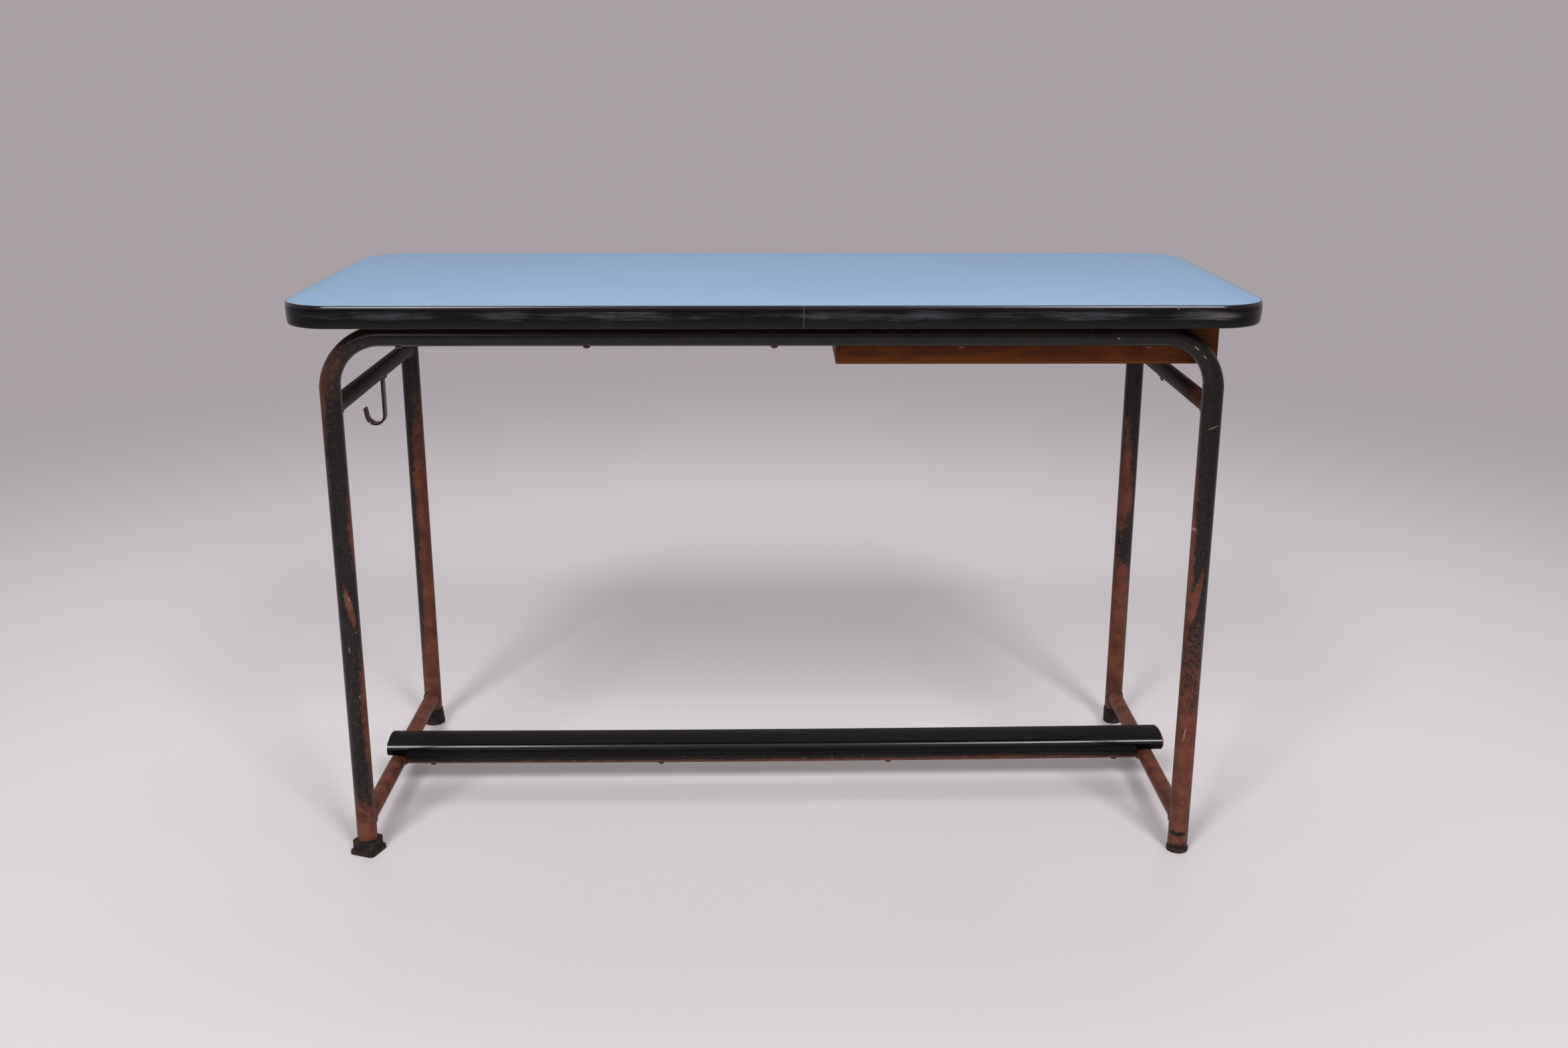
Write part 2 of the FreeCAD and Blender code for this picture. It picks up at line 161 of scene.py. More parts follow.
class Finish(Tree):
    """A material and the patterns that it is made from."""

    def __init__(self, name):
        self.material = bpy.data.materials.new(name)
        self.material.use_nodes = True
        super().__init__(self.material.node_tree)
        self.tree.nodes.clear()
        self.place = self.add("ShaderNodeTexCoord").outputs["Object"]
        split = self.add("ShaderNodeSeparateXYZ", {0: self.place})
        self.x, self.y, self.z = [Value(self, socket) for socket in split.outputs]

    def noise(self, size, detail=3, stretch=(1, 1, 1), shift=0, roughness=0.5):
        """A cloudy pattern from 0 to 1 whose clouds are about one size across."""
        moved = self.add("ShaderNodeMapping", {
            "Vector": self.place, "Location": (shift, shift, shift),
            "Scale": [1 / (size * factor) for factor in stretch]})
        node = self.add("ShaderNodeTexNoise", {
            "Vector": moved, "Scale": 1, "Detail": detail, "Roughness": roughness})
        return Value(self, node.outputs["Fac"])

    def patch(self, centre, half, tilt_deg=0):
        """1 in the middle of a soft patch and 0 at its edge, by its centre and half sizes in mm."""
        turned_place = self.add("ShaderNodeMapping", {
            "Vector": self.place,
            "Location": [value * MM for value in centre],
            "Rotation": (0, math.radians(tilt_deg), 0),
            "Scale": [value * MM for value in half]}, vector_type="TEXTURE")
        node = self.add(
            "ShaderNodeTexGradient", {"Vector": turned_place}, gradient_type="SPHERICAL")
        return Value(self, node.outputs["Fac"])

    def facing(self, axis):
        """How far the surface faces along an axis, from -1 to 1."""
        normal = self.add("ShaderNodeNewGeometry").outputs["Normal"]
        return Value(self, self.add("ShaderNodeSeparateXYZ", {0: normal}).outputs[axis])

    def step(self, value, low, high):
        """0 below the low level, 1 above the high one, and smooth between them."""
        node = self.add("ShaderNodeMapRange", {
            "Value": value, "From Min": low, "From Max": high}, interpolation_type="SMOOTHSTEP")
        return Value(self, node.outputs[0])

    def mix(self, mask, under, over):
        """One colour over another where the mask is 1."""
        node = self.add("ShaderNodeMix", {0: mask, 6: under, 7: over}, data_type="RGBA")
        return node.outputs[2]

    def bump(self, height, depth):
        """The dents and grain that a height pattern makes, to a depth in mm."""
        return self.add("ShaderNodeBump", {"Height": height, "Distance": depth * MM}).outputs[0]

    def done(self, **inputs):
        """The surface itself, from the inputs of its shader, written with _ for a space."""
        named = {name.replace("_", " "): value for name, value in inputs.items()}
        surface = self.add("ShaderNodeBsdfPrincipled", named)
        self.add("ShaderNodeOutputMaterial", {"Surface": surface})
        print(self.material.name, "uses", len(self.tree.nodes), "nodes")
        return self.material


print("a middle grey in linear light:", round(shade(128, 128, 128)[0], 3))

# %% [markdown]
# ## The studio
# The desk stands on a plain pale floor, which shows it and its shadow best. A picture wrapped round
# the scene could light it too, but lamps can stand where the photograph's light came from. The two
# main lamps are tall and stand left and right of the camera, because the round black edges shine in
# their left and right thirds and are dull in the middle. Three weak lamps fill in the front, the
# top and the back. Far from the desk the floor turns into light of its own, in the colour of the
# world behind it, so that no horizon shows.

# %% Hang the lamps
def lamp(name, place, aim, size, watts):
    """A rectangular lamp at a place, which points at another."""
    light = bpy.data.lights.new(name, "AREA")
    light.shape = "RECTANGLE"
    light.size, light.size_y = size
    light.energy = watts
    holder = put(name, light)
    holder.location = place
    holder.rotation_euler = (Vector(aim) - Vector(place)).to_track_quat("-Z", "Y").to_euler()


desk_middle = (0, -0.1, 0.45)
lamp("left_lamp", (-1.6, -3.5, 4.0), desk_middle, (1.0, 2.0), 97)
lamp("right_lamp", (1.6, -3.5, 4.0), desk_middle, (1.0, 1.8), 95)
lamp("low_strip", (-1.3, -2.6, 1.45), (0, -0.2, 0.7), (0.8, 0.15), 3.5)
lamp("ceiling_fill", (0, -0.9, 3.3), (0, 0, 0.4), (3.0, 1.6), 8)
lamp("back_fill", (0, 1.6, 3.0), (0, 0.5, 0), (3.5, 1.5), 26)
print("lamps:", [light.name for light in bpy.data.lights])


# %% Colour the world
def seen_rays(tree):
    """1 for the rays that show a thing: to the camera, in a reflection or through glass."""
    rays = tree.add("ShaderNodeLightPath")
    kinds = ("Camera", "Glossy", "Transmission")
    camera_ray, glossy_ray, clear_ray = [
        Value(tree, rays.outputs[f"Is {kind} Ray"]) for kind in kinds]
    return camera_ray.limit(glossy_ray).limit(clear_ray)


far_tone = shade(168, 160, 164)
world = bpy.data.worlds.new("studio")
world.use_nodes = True
bpy.context.scene.world = world
sky = Tree(world.node_tree)
sky.tree.nodes.clear()
glow = sky.add("ShaderNodeBackground", {"Color": shade(235, 236, 240), "Strength": 0.26})
backdrop = sky.add("ShaderNodeBackground", {"Color": far_tone, "Strength": 1})
both = sky.add("ShaderNodeMixShader", {0: seen_rays(sky), 1: glow, 2: backdrop})
sky.add("ShaderNodeOutputWorld", {"Surface": both})
bpy.context.scene.view_settings.view_transform = "Standard"
print("the world uses", len(sky.tree.nodes), "nodes")

# %% Lay the floor
floor_half = 30
clear_reach, far_reach = 0.9, 3.6
floor_mesh = bpy.data.meshes.new("floor")
floor_corners = [
    (floor_half * x, floor_half * y, 0) for x, y in ((-1, -1), (1, -1), (1, 1), (-1, 1))]
floor_mesh.from_pydata(floor_corners, [], [(0, 1, 2, 3)])
floor = put("floor", floor_mesh)
ground = Finish("pale_floor")
painted = ground.add("ShaderNodeBsdfPrincipled", {
    "Base Color": ground.mix(ground.noise(0.9, 2), shade(236, 229, 231), shade(240, 233, 235)),
    "Roughness": 0.75})
distance = ground.calc("SQRT", ground.x * ground.x + ground.y * ground.y)
far = ground.step(distance, clear_reach, far_reach) * seen_rays(ground)
glowing = ground.add("ShaderNodeEmission", {"Color": far_tone, "Strength": 1})
blend = ground.add("ShaderNodeMixShader", {0: far, 1: painted, 2: glowing})
ground.add("ShaderNodeOutputMaterial", {"Surface": blend})
floor_mesh.materials.append(ground.material)
print("the floor is", 2 * floor_half, "m wide")

# %% [markdown]
# ## The blue laminate
# A pressed laminate sheet is a printed paper under clear resin. It has one colour with a hardly
# visible mottle, a fine satin grain, and after years of elbows a few hair scratches and duller
# areas. The scratches could be drawn one by one. Here they are the peaks of a noise that is
# stretched to long thin clouds, once along the top and once across it, so that no two are alike.

# %% Mix the laminate
sheet = Finish("blue_laminate")
mottle = sheet.noise(0.05, 4)
clouds = sheet.noise(0.4, 2, shift=3)
tone = sheet.mix(mottle * 0.5 + clouds * 0.5, shade(130, 163, 197), shade(139, 173, 206))
hairs = sheet.noise(0.002, 2, stretch=(60, 1.5, 1))
cross_hairs = sheet.noise(0.002, 2, stretch=(1.5, 40, 1), shift=5)
scratches = sheet.step(hairs, 0.70, 0.74) + sheet.step(cross_hairs, 0.72, 0.76)
tone = sheet.mix(scratches * clouds * 0.22, tone, shade(176, 193, 214))
grain = sheet.noise(0.0009, 2)
blue_laminate = sheet.done(
    Base_Color=tone, Roughness=0.40 + clouds * 0.12 + mottle * 0.06,
    Normal=sheet.bump(grain - scratches * 0.5, 0.02))

# %% [markdown]
# ## The black plastics
# The band round the top and the cover of the footrest are both extruded plastic. The band has been
# bumped by chairs for years, so its face has pale scuffs that run along it. The cover is glossier,
# with fine lines along the way it was drawn and a few bright nicks. One gloss all over would look
# like new plastic. So the sharp shine of the round edge is a clear coat that lies only there, and
# the plastic under it reflects little.

# %% Mix the band's plastic
band_face = -261
band_scuffs = [(94, 60), (192, 50), (388, 50), (512, 50), (-190, 90), (-450, 70), (-320, 50)]
scuff_height = 723
plastic = Finish("edge_plastic")
rubbed = plastic.noise(0.05, 3, shift=9) * 1.6 - 0.8
for centre_x, half_x in band_scuffs:
    rubbed = rubbed + plastic.patch((centre_x, band_face, scuff_height), (half_x, 30, 30)) * 0.6
streaks = plastic.noise(0.0013, 4, stretch=(30, 30, 1), roughness=0.6)
flicks = plastic.noise(0.006, 5, stretch=(7, 7, 0.5), shift=2, roughness=0.7)
off_zone = (plastic.z - scuff_height * MM + (flicks - 0.5) * 0.008).size()
zone = 1 - plastic.step(off_zone, 0.001, 0.009)
scuff = plastic.step(rubbed * 0.4 + streaks * 0.95 + flicks * 0.75 + zone * 0.4, 1.05, 1.85)
band_wear = plastic.step(plastic.noise(0.02, 5, shift=7, roughness=0.65), 0.5, 0.75)
# The lower part of the band is painted a little lighter: a painted reflection of the floor.
low = 1 - plastic.step(plastic.z, 0.708, 0.722)
base = plastic.mix(low * 0.35 + band_wear * 0.3, shade(5, 5, 8), shade(22, 21, 22))
base = plastic.mix(scuff * 0.8, base, shade(74, 74, 78))
worn = plastic.patch((536, -258, 722.5), (30, 16, 9))
smudge = plastic.step(worn * 0.8 + (flicks - 0.5) * 1.2 + (streaks - 0.5) * 0.8, 0.1, 0.9)
base = plastic.mix(smudge * 0.75, base, shade(104, 96, 98))
nick = plastic.step(plastic.patch((483, -259, 731), (3, 6, 2)) + (flicks - 0.5) * 1.5, 0.3, 0.6)
base = plastic.mix(nick * 0.8, base, shade(132, 124, 120))
shoulder = plastic.step(plastic.z, 0.7295, 0.7325)
edge_plastic = plastic.done(
    Base_Color=base, Roughness=0.13 + scuff * 0.27 + band_wear * 0.08, Specular_IOR_Level=0.2,
    Coat_Weight=shoulder * (1 - flicks * 0.4), Coat_Roughness=0.2,
    Normal=plastic.bump(streaks * 0.4 - scuff, 0.04))

# %% Mix the footrest cover's plastic
cover_face = -47
cover_nicks = [(472, 62), (250, 66)]
plastic = Finish("footrest_plastic")
drawn = plastic.noise(0.0012, 2, stretch=(80, 1, 1))
ripple = plastic.noise(0.03, 2, stretch=(3, 1, 1), shift=4)
shoe_marks = plastic.step(plastic.noise(0.006, 4, stretch=(5, 1, 1), shift=9), 0.62, 0.74)
upward = plastic.facing("Z")
trodden = plastic.step(upward, 0.80, 0.98)
base = plastic.mix(shoe_marks * 0.3, shade(6, 6, 8), shade(32, 30, 32))
chips = sum(plastic.patch((x, cover_face, z), (3, 8, 2)) for x, z in cover_nicks)
chip = plastic.step(chips + plastic.noise(0.002, 2) * 0.3, 0.35, 0.5)
base = plastic.mix(chip, base, shade(176, 160, 130))
nose = plastic.step(upward, 0.05, 0.30) * (1 - plastic.step(upward, 0.70, 0.92))
footrest_plastic = plastic.done(
    Base_Color=base, Roughness=0.16 + shoe_marks * 0.15 + trodden * 0.4,
    Specular_IOR_Level=0.13, Coat_Weight=nose * (1 - drawn * 0.3), Coat_Roughness=0.2,
    Normal=plastic.bump(drawn * 0.15 + ripple, 0.25))

# %% [markdown]
# ## The frame's paint
# The tubes were dipped in a red-brown primer and sprayed black. Shoes and chairs have rubbed the
# black away: in broad areas near the floor, in strips along the tubes, and in specks everywhere.
# The wear could be painted by hand over each tube, but a mask that is a sum is easier to move. It
# adds up how brown the tube is in general, the patches that the photograph shows, and noise that
# frays their edges. Each tube has its own list of patches, in millimetres on the desk. A few chips
# go down to a pale ground. Some patches with a negative weight take the brown away at the tops of
# the rear legs, and the primer turns darker higher up: both are painted shade under the desk top.

# %% Mix a tube's paint
black_paint = shade(24, 21, 21)
deep_black = shade(9, 8, 8)
worn_grey = shade(60, 51, 48)
primer_brown = shade(116, 65, 48)
primer_dark = shade(88, 49, 37)
dust_grey = shade(128, 116, 104)
chip_pale = shade(152, 137, 116)


def mix_tube_paint(name, brownness, patches, chips=(), gloss=0.24, dullness=0.24):
    """Black over brown primer. Patches are (centre, half size, weight), chips without a weight.

    Both may end with a tilt in degrees. All sizes are in millimetres.
    """
    paint = Finish(name)
    broad = paint.noise(0.05, 3, stretch=(1, 1, 2))
    ragged = paint.noise(0.006, 6, shift=3, roughness=0.75)
    wear = brownness + (broad - 0.5) * 0.7 + (ragged - 0.5) * 1.5
    for centre, half, weight, *tilt in patches:
        wear = wear + paint.patch(centre, half, *tilt) * weight
    bare = paint.step(wear, 0.10, 0.90)
    specks = paint.step(paint.noise(0.0016, 4, shift=5, roughness=0.6), 0.60, 0.70)
    spots = paint.step(paint.noise(0.0019, 4, shift=8, roughness=0.6), 0.56, 0.66)
    bare = paint.step(bare + specks * 0.42 - spots * bare * 0.45, 0.05, 0.95)
    cloud = paint.noise(0.018, 4, shift=11, roughness=0.6)
    grit = paint.step(paint.noise(0.0028, 5, shift=21, roughness=0.7), 0.46, 0.68)
    # The black takes more grey grit lower down on a tube, so it is darker towards the top.
    lower_down = 1 - paint.step(paint.z, 0.30, 0.69)
    black = paint.mix(cloud, deep_black, black_paint)
    black = paint.mix(grit * (0.28 + lower_down * 0.4), black, worn_grey)
    brown = paint.mix(paint.step(cloud, 0.35, 0.65), primer_dark, primer_brown)
    # Higher up, the brown primer is mixed towards deep black: a painted shade under the desk top.
    brown = paint.mix(paint.step(paint.z, 0.42, 0.66) * 0.5, brown, deep_black)
    dust = paint.step(paint.noise(0.0011, 2, shift=17), 0.70, 0.76)
    colour = paint.mix(dust * 0.35, paint.mix(bare, black, brown), dust_grey)
    if chips:
        hits = sum(paint.patch(*chip) for chip in chips)
        frayed = hits + (paint.noise(0.0012, 3, shift=13) - 0.5) * 0.9
        colour = paint.mix(paint.step(frayed, 0.38, 0.62) * 0.75, colour, chip_pale)
    return paint.done(
        Base_Color=colour, Roughness=dullness + bare * 0.30 + specks * 0.08,
        Specular_IOR_Level=gloss,
        Normal=paint.bump(specks * 0.3 - bare * 0.6 + cloud * 0.2, 0.08))


print("the primer in linear light:", [round(channel, 3) for channel in primer_brown[:3]])

# %% Place the wear on the front hoop
front_face = -240.5
front_hoop_wear = [
    ((-530, front_face, 650), (75, 14, 85), 0.5),
    ((-551, -230, 590), (9, 25, 220), 0.5),
    ((-529, -228, 440), (6, 25, 85), 0.8),
    ((-536, front_face, 347), (6, 12, 44), 1.3, -10),
    ((-541, -228, 20), (60, 80, 90), 0.85),
    ((-541, -228, 190), (30, 80, 130), 0.12),
    ((-528, -228, 190), (7, 25, 150), 0.8),
    ((536, -228, 28.3), (18, 60, 4), -2.6, 3),
    ((557, -228, 280), (7, 30, 300), -1.0),
    ((541, -228, 2), (30, 60, 20), -1.2),
    ((541, -228, 520), (40, 60, 170), -0.25),
    ((529, -228, 462), (7.5, 25, 190), 1.05),
    ((537, front_face, 360), (6, 12, 48), 1.3, 10),
    ((541, -228, 20), (60, 80, 370), 1.1),
    ((515, front_face, 640), (40, 14, 60), 0.25),
]
front_hoop_chips = [
    ((-536, front_face, 360), (2, 14, 4)),
    ((-531, front_face, 314), (2, 14, 3)),
    ((-533, front_face, 226), (2, 14, 3)),
    ((-541, front_face, 292), (1.2, 14, 9)),
    ((536, front_face, 172), (1.1, 14, 17), 4),
    ((540, front_face, 75), (1.6, 14, 2.4)),
    ((540.5, front_face, 60), (1.2, 14, 2)),
    ((536, front_face, 31), (2.4, 14, 1), 20),
    ((419, front_face, 692), (3, 14, 2)),
    ((514, front_face, 680), (8, 14, 1.3), 42),
    ((525, front_face, 669), (5, 14, 1.3), 45),
    ((530, -231, 449), (5, 12, 5)),
    ((541, -236, 581), (14, 24, 1.0), -22),
]
front_hoop_paint = mix_tube_paint("front_hoop_paint", 0.10, front_hoop_wear, front_hoop_chips)

# %% Place the wear on the other tubes
rear_face = 184
rear_hoop_paint = mix_tube_paint("rear_hoop_paint", 0.16, [
    ((-532, rear_face, 250), (17, 40, 440), 1.0),
    ((-541, 197, 50), (40, 60, 150), 1.0),
    # Less brown at the top of the left rear leg: painted shade under the desk top.
    ((-536, rear_face, 600), (40, 60, 110), -0.2),
    ((537, rear_face, 90), (26, 40, 400), 1.9),
    ((533, rear_face, 440), (10, 30, 230), 0.5),
    # Less brown at the top of the right rear leg: painted shade under the desk top.
    ((541, rear_face, 600), (40, 60, 110), -0.9),
    ((554, 195, 330), (7, 30, 260), -1.3),
    ((537, rear_face, 292), (22, 30, 75), -1.15),
])
upper_rail_paint = mix_tube_paint("upper_rail_paint", 0.22, [
    ((-541, -15, 616), (25, 240, 7), 0.15),
    ((541, -15, 616), (25, 240, 7), 0.15),
    ((541, -205, 604), (30, 110, 40), 0.75),
], gloss=0.1, dullness=0.5)
lower_rail_paint = mix_tube_paint("lower_rail_paint", 0.84, [((-541, -20, 44), (30, 60, 30), -0.9)])
cross_tube_paint = mix_tube_paint(
    "cross_tube_paint", 0.08,
    [((0, -17, 31), (3000, 40, 11.5), 1.6), ((340, -17, 36), (190, 40, 12), 0.8)],
    [((43, -28, 40), (2.2, 14, 1.8)), ((131, -28, 45), (2.6, 14, 1.6))])
hook_paint = mix_tube_paint(
    "hook_paint", 0.42, [((-560, 28, 527), (14, 20, 8), 0.3)], [((-561, 21, 529), (3, 4, 3))])

# %% [markdown]
# ## Welds and screws
# The welds were painted without care. They are rough, dark and rusty, with orange in the hollows.
# The screw heads have rusted to a red brown as well, and the steel under the rust still shines a
# little. The glue in the band's seam has the same grainy look in a paler brown. All of them are one
# mixture of a dark and a light tone, a grain size and a share of metal, so one function mixes them.

# %% Mix the rusty metals
rust_powder = shade(124, 74, 46)


def mix_rusty(name, dark, light, grain_size, metal=0):
    """Rust that is dark on the whole, with lighter powder in spots."""
    rust = Finish(name)
    grain = rust.noise(grain_size, 5, roughness=0.65)
    powder = rust.step(rust.noise(grain_size * 3, 3, shift=4), 0.45, 0.65)
    tone = rust.mix(rust.step(grain, 0.35, 0.7), dark, light)
    return rust.done(
        Base_Color=rust.mix(powder * 0.3, tone, rust_powder), Roughness=0.55 + grain * 0.3,
        Metallic=metal, Normal=rust.bump(grain, 0.35))


weld_grain, screw_grain, glue_grain = 0.0018, 0.0012, 0.001
weld_metal = mix_rusty("weld_metal", shade(40, 30, 27), shade(88, 55, 42), weld_grain, 0.1)
painted_weld = mix_rusty("painted_weld", shade(20, 17, 16), shade(52, 38, 31), weld_grain)
screw_steel = mix_rusty("screw_steel", shade(70, 44, 36), shade(122, 80, 62), screw_grain, 0.35)
seam_glue = mix_rusty("seam_glue", shade(96, 70, 48), shade(142, 110, 80), glue_grain)

# %% [markdown]
# ## The woods
# Four wooden things are in the desk: varnished plywood for the shelf, raw pine for its battens, a
# slat in the footrest and the core of the top. A picture of wood would show the same grain on a
# face and on a cut. Here the grain lies in the board itself. Peeled plywood shows a flame figure:
# contour lines of a slow, stretched noise, which a sine turns into bands. Where a board is cut, its
# plies show as stripes, so the finish looks at which way the surface faces.

# %% Mix the plywood and the pine
def mix_wood(name, light, dark, figure, stretch, gloss, thickness_axis=None, ply=None):
    """Wood with contour bands, pores and, on cut edges, plies. Figure and ply are in metres."""
    wood = Finish(name)
    slow = wood.noise(figure, 2, stretch=stretch)
    bands = (slow * 46).wave() * 0.5 + 0.5
    pores = wood.noise(0.0009, 3, stretch=[factor * 4 for factor in stretch], shift=3)
    fine = (slow * 190).wave() * 0.5 + 0.5
    tone = wood.mix(bands * 0.6 + fine * 0.2, light, dark)
    tone = wood.mix(wood.step(pores, 0.56, 0.72) * 0.5, tone, dark)
    if ply:
        flat_side = wood.facing(thickness_axis).size()
        depth = (wood.x, wood.y, wood.z)[thickness_axis]
        plies = wood.step((depth * (math.tau / (2 * ply))).wave(), -0.2, 0.2)
        tone = wood.mix(wood.step(flat_side, 0.5, 0.8), wood.mix(plies, dark, light), tone)
    return wood.done(
        Base_Color=tone, Roughness=gloss + pores * 0.15, Specular_IOR_Level=0.1,
        Normal=wood.bump(bands * 0.3 + pores * -0.6, 0.06))


varnished = shade(100, 49, 14), shade(68, 32, 9)
bare_ply = shade(106, 58, 27), shade(78, 41, 18)
raw_pine = shade(190, 150, 100), shade(150, 108, 66)
grey_slat = shade(128, 104, 66), shade(88, 68, 40)
front_ply = mix_wood(
    "front_plywood", *varnished, figure=0.035, stretch=(5, 1, 1.1), gloss=0.36,
    thickness_axis=1, ply=0.002)
wall_ply = mix_wood(
    "wall_plywood", *varnished, figure=0.05, stretch=(1, 5, 1), gloss=0.4,
    thickness_axis=0, ply=0.002)
floor_ply = mix_wood(
    "floor_plywood", *bare_ply, figure=0.07, stretch=(5, 1, 1), gloss=0.5,
    thickness_axis=2, ply=0.0013)
cleat_wood = mix_wood("cleat_wood", *raw_pine, figure=0.02, stretch=(1, 12, 1), gloss=0.6)
slat_wood = mix_wood("slat_wood", *grey_slat, figure=0.02, stretch=(14, 1, 1), gloss=0.6)

# %% [markdown]
# The core of the top is chipboard: pressed chips of every size, which a cell pattern gives. Nobody
# sees it, but the saw groove is cut in it, and a finish costs little. The backing sheet under it is
# thin brown board, a little stained.

# %% Mix the core and the backing sheet
core = Finish("core_board")
cells = core.add("ShaderNodeTexVoronoi", {"Vector": core.place, "Scale": 260})
away = Value(core, cells.outputs["Distance"])
tone = core.add("ShaderNodeValToRGB", {"Fac": away * 1.4}, stops=[
    (0.0, shade(150, 118, 78)), (0.5, shade(186, 152, 104)), (1.0, shade(206, 178, 130))])
core_board = core.done(Base_Color=tone, Roughness=0.8, Normal=core.bump(away, 0.2))

sheet = Finish("backing_sheet")
stain = sheet.noise(0.2, 4)
fibre = sheet.noise(0.0015, 3, stretch=(4, 1, 1))
tone = sheet.mix(sheet.step(stain, 0.4, 0.7), shade(120, 92, 66), shade(98, 72, 50))
backing_sheet = sheet.done(
    Base_Color=tone, Roughness=0.6 + fibre * 0.2, Normal=sheet.bump(fibre, 0.03))

# %% [markdown]
# ## The rubber feet
# Old black rubber is matt, and floor dust lies in its pores. The dust could be a second layer, but
# it is so thin that it is only a paler colour where a noise has its peaks. Near the floor the dust
# is thicker, so there the noise is raised a little.

# %% Mix the rubber
rubber = Finish("foot_rubber")
pores = rubber.noise(0.0012, 4)
cloud = rubber.noise(0.012, 3, shift=6)
near_floor = 1 - rubber.step(rubber.z, 0.002, 0.02)
dust = rubber.step(cloud * 0.7 + pores * 0.3 + near_floor * 0.12, 0.46, 0.72)
foot_rubber = rubber.done(
    Base_Color=rubber.mix(dust * 0.5, shade(19, 15, 15), shade(80, 64, 56)),
    Roughness=0.62 + dust * 0.25, Specular_IOR_Level=0.25,
    Normal=rubber.bump(pores + cloud * 0.5, 0.12))

# %% [markdown]
# ## The side rails
# The four straight side rails are right as the CAD program made them, so they keep their mesh and
# only get paint. Every other piece is made again below, and its hidden CAD node gets the same
# finish.

# %% Dress the side rails
def dress(node, finish):
    """A finish on a CAD node's own mesh."""
    for material_slot in nodes[node].material_slots:
        material_slot.material = finish


for side in ("left", "right"):
    dress("upper_rail_" + side, upper_rail_paint)
    dress("lower_rail_" + side, lower_rail_paint)
print("the rails are dressed")

# %% [markdown]
# ## Skins from sections
# Most of the desk is a section that follows a path: the band round the top, the cover along the
# footrest, the strip of the hook. Turned feet and flat plates are rings of points as well. Curves
# with a profile could make some of them, but a skin over rings of points makes them all, and each
# path is only a handful of lines and arcs.

# %% Helpers for arcs
def heading(angle_deg):
    """The level direction at an angle from +X."""
    angle = math.radians(angle_deg)
    return Vector((math.cos(angle), math.sin(angle), 0))


def curve_points(centre, radius, start_deg, end_deg, count):
    """Points on an arc, as (across, up) pairs."""
    points = []
    for index in range(count + 1):
        angle = math.radians(start_deg + (end_deg - start_deg) * index / count)
        points.append((centre[0] + radius * math.cos(angle), centre[1] + radius * math.sin(angle)))
    return points


def round_corners(half_x, half_y, radius, steps):
    """(place, outward) pairs anticlockwise round a rectangle with round corners."""
    outline = []
    for turn, (sign_x, sign_y) in enumerate(((1, -1), (1, 1), (-1, 1), (-1, -1))):
        middle = Vector((sign_x * (half_x - radius), sign_y * (half_y - radius), 0))
        for index in range(steps + 1):
            outward = heading(90 * (turn - 1 + index / steps))
            outline.append((middle + outward * radius, outward))
    return outline


print("a quarter arc in 8 steps has", len(curve_points((0, 0), 1, 0, 90, 8)), "points")

# %% Helpers for skins
def skin(rings):
    """A closed mesh over rings of points. A ring may be a single point."""
    shape = bmesh.new()
    rings = [[shape.verts.new(point) for point in ring] for ring in rings]
    for first, second in zip(rings, rings[1:]):
        for index in range(max(len(first), len(second))):
            after = index + 1
            corners = [
                first[index % len(first)], first[after % len(first)],
                second[after % len(second)], second[index % len(second)]]
            unique = list(dict.fromkeys(corners))
            if len(unique) > 2:
                shape.faces.new(unique)
    for ring in (rings[0], rings[-1]):
        if len(ring) > 2:
            shape.faces.new(ring)
    return shape


def swept(stations, section):
    """A section of (across, up) pairs at each station of (place, across, up)."""
    return skin([
        [place + across * a + up * b for a, b in section] for place, across, up in stations])


def turned(profile, centre, steps):
    """An outline of (radius, height) pairs, turned about an upright axis."""
    rings = []
    for radius, height in profile:
        rings.append([
            centre + heading(360 * index / steps) * radius + UP * height
            for index in range(steps if radius > 0 else 1)])
    return skin(rings)


def stacked(outline, layers):
    """A plate: an outline of (place, outward) pairs, drawn in by an inset at each height."""
    rings = []
    for inset, height in layers:
        rings.append([
            Vector((place.x, place.y, height)) - outward.normalized() * inset
            for place, outward in outline])
    return skin(rings)


square = [Vector((x, y, 0)) for x, y in ((0, 0), (1, 0), (1, 1), (0, 1))]
cube = skin([square, [corner + UP for corner in square]])
print("a skin over two squares has", len(cube.faces), "faces")
cube.free()

# %% Helpers for pieces
def span(node):
    """The lowest and highest corners of a CAD node, and the middle between them."""
    low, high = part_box(node)
    return low, high, (low + high) / 2


def plain(name, shape):
    """An object from a mesh in the making, with every face turned outwards."""
    bmesh.ops.recalc_face_normals(shape, faces=shape.faces)
    mesh = bpy.data.meshes.new(name)
    shape.to_mesh(mesh)
    shape.free()
    return put(name, mesh)


def settle(piece, finish, replaced=(), sharp_deg=35):
    """Smooth faces with sharp edges, the finish, and the calls that tie a piece to the desk."""
    mesh = piece.data
    mesh.materials.clear()
    mesh.materials.append(finish)
    mesh.shade_smooth()
    mesh.set_sharp_from_angle(angle=math.radians(sharp_deg))
    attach(piece, "root")
    for node in replaced:
        dress(node, finish)
        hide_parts(node)
    print(piece.name, "has", len(mesh.polygons), "faces")


def keep(name, shape, finish, slot, *replaced):
    """A new piece from a mesh in the making, and the CAD node that it stands for."""
    settle(plain(name, shape), finish, replaced)


print("mesh helpers ready")

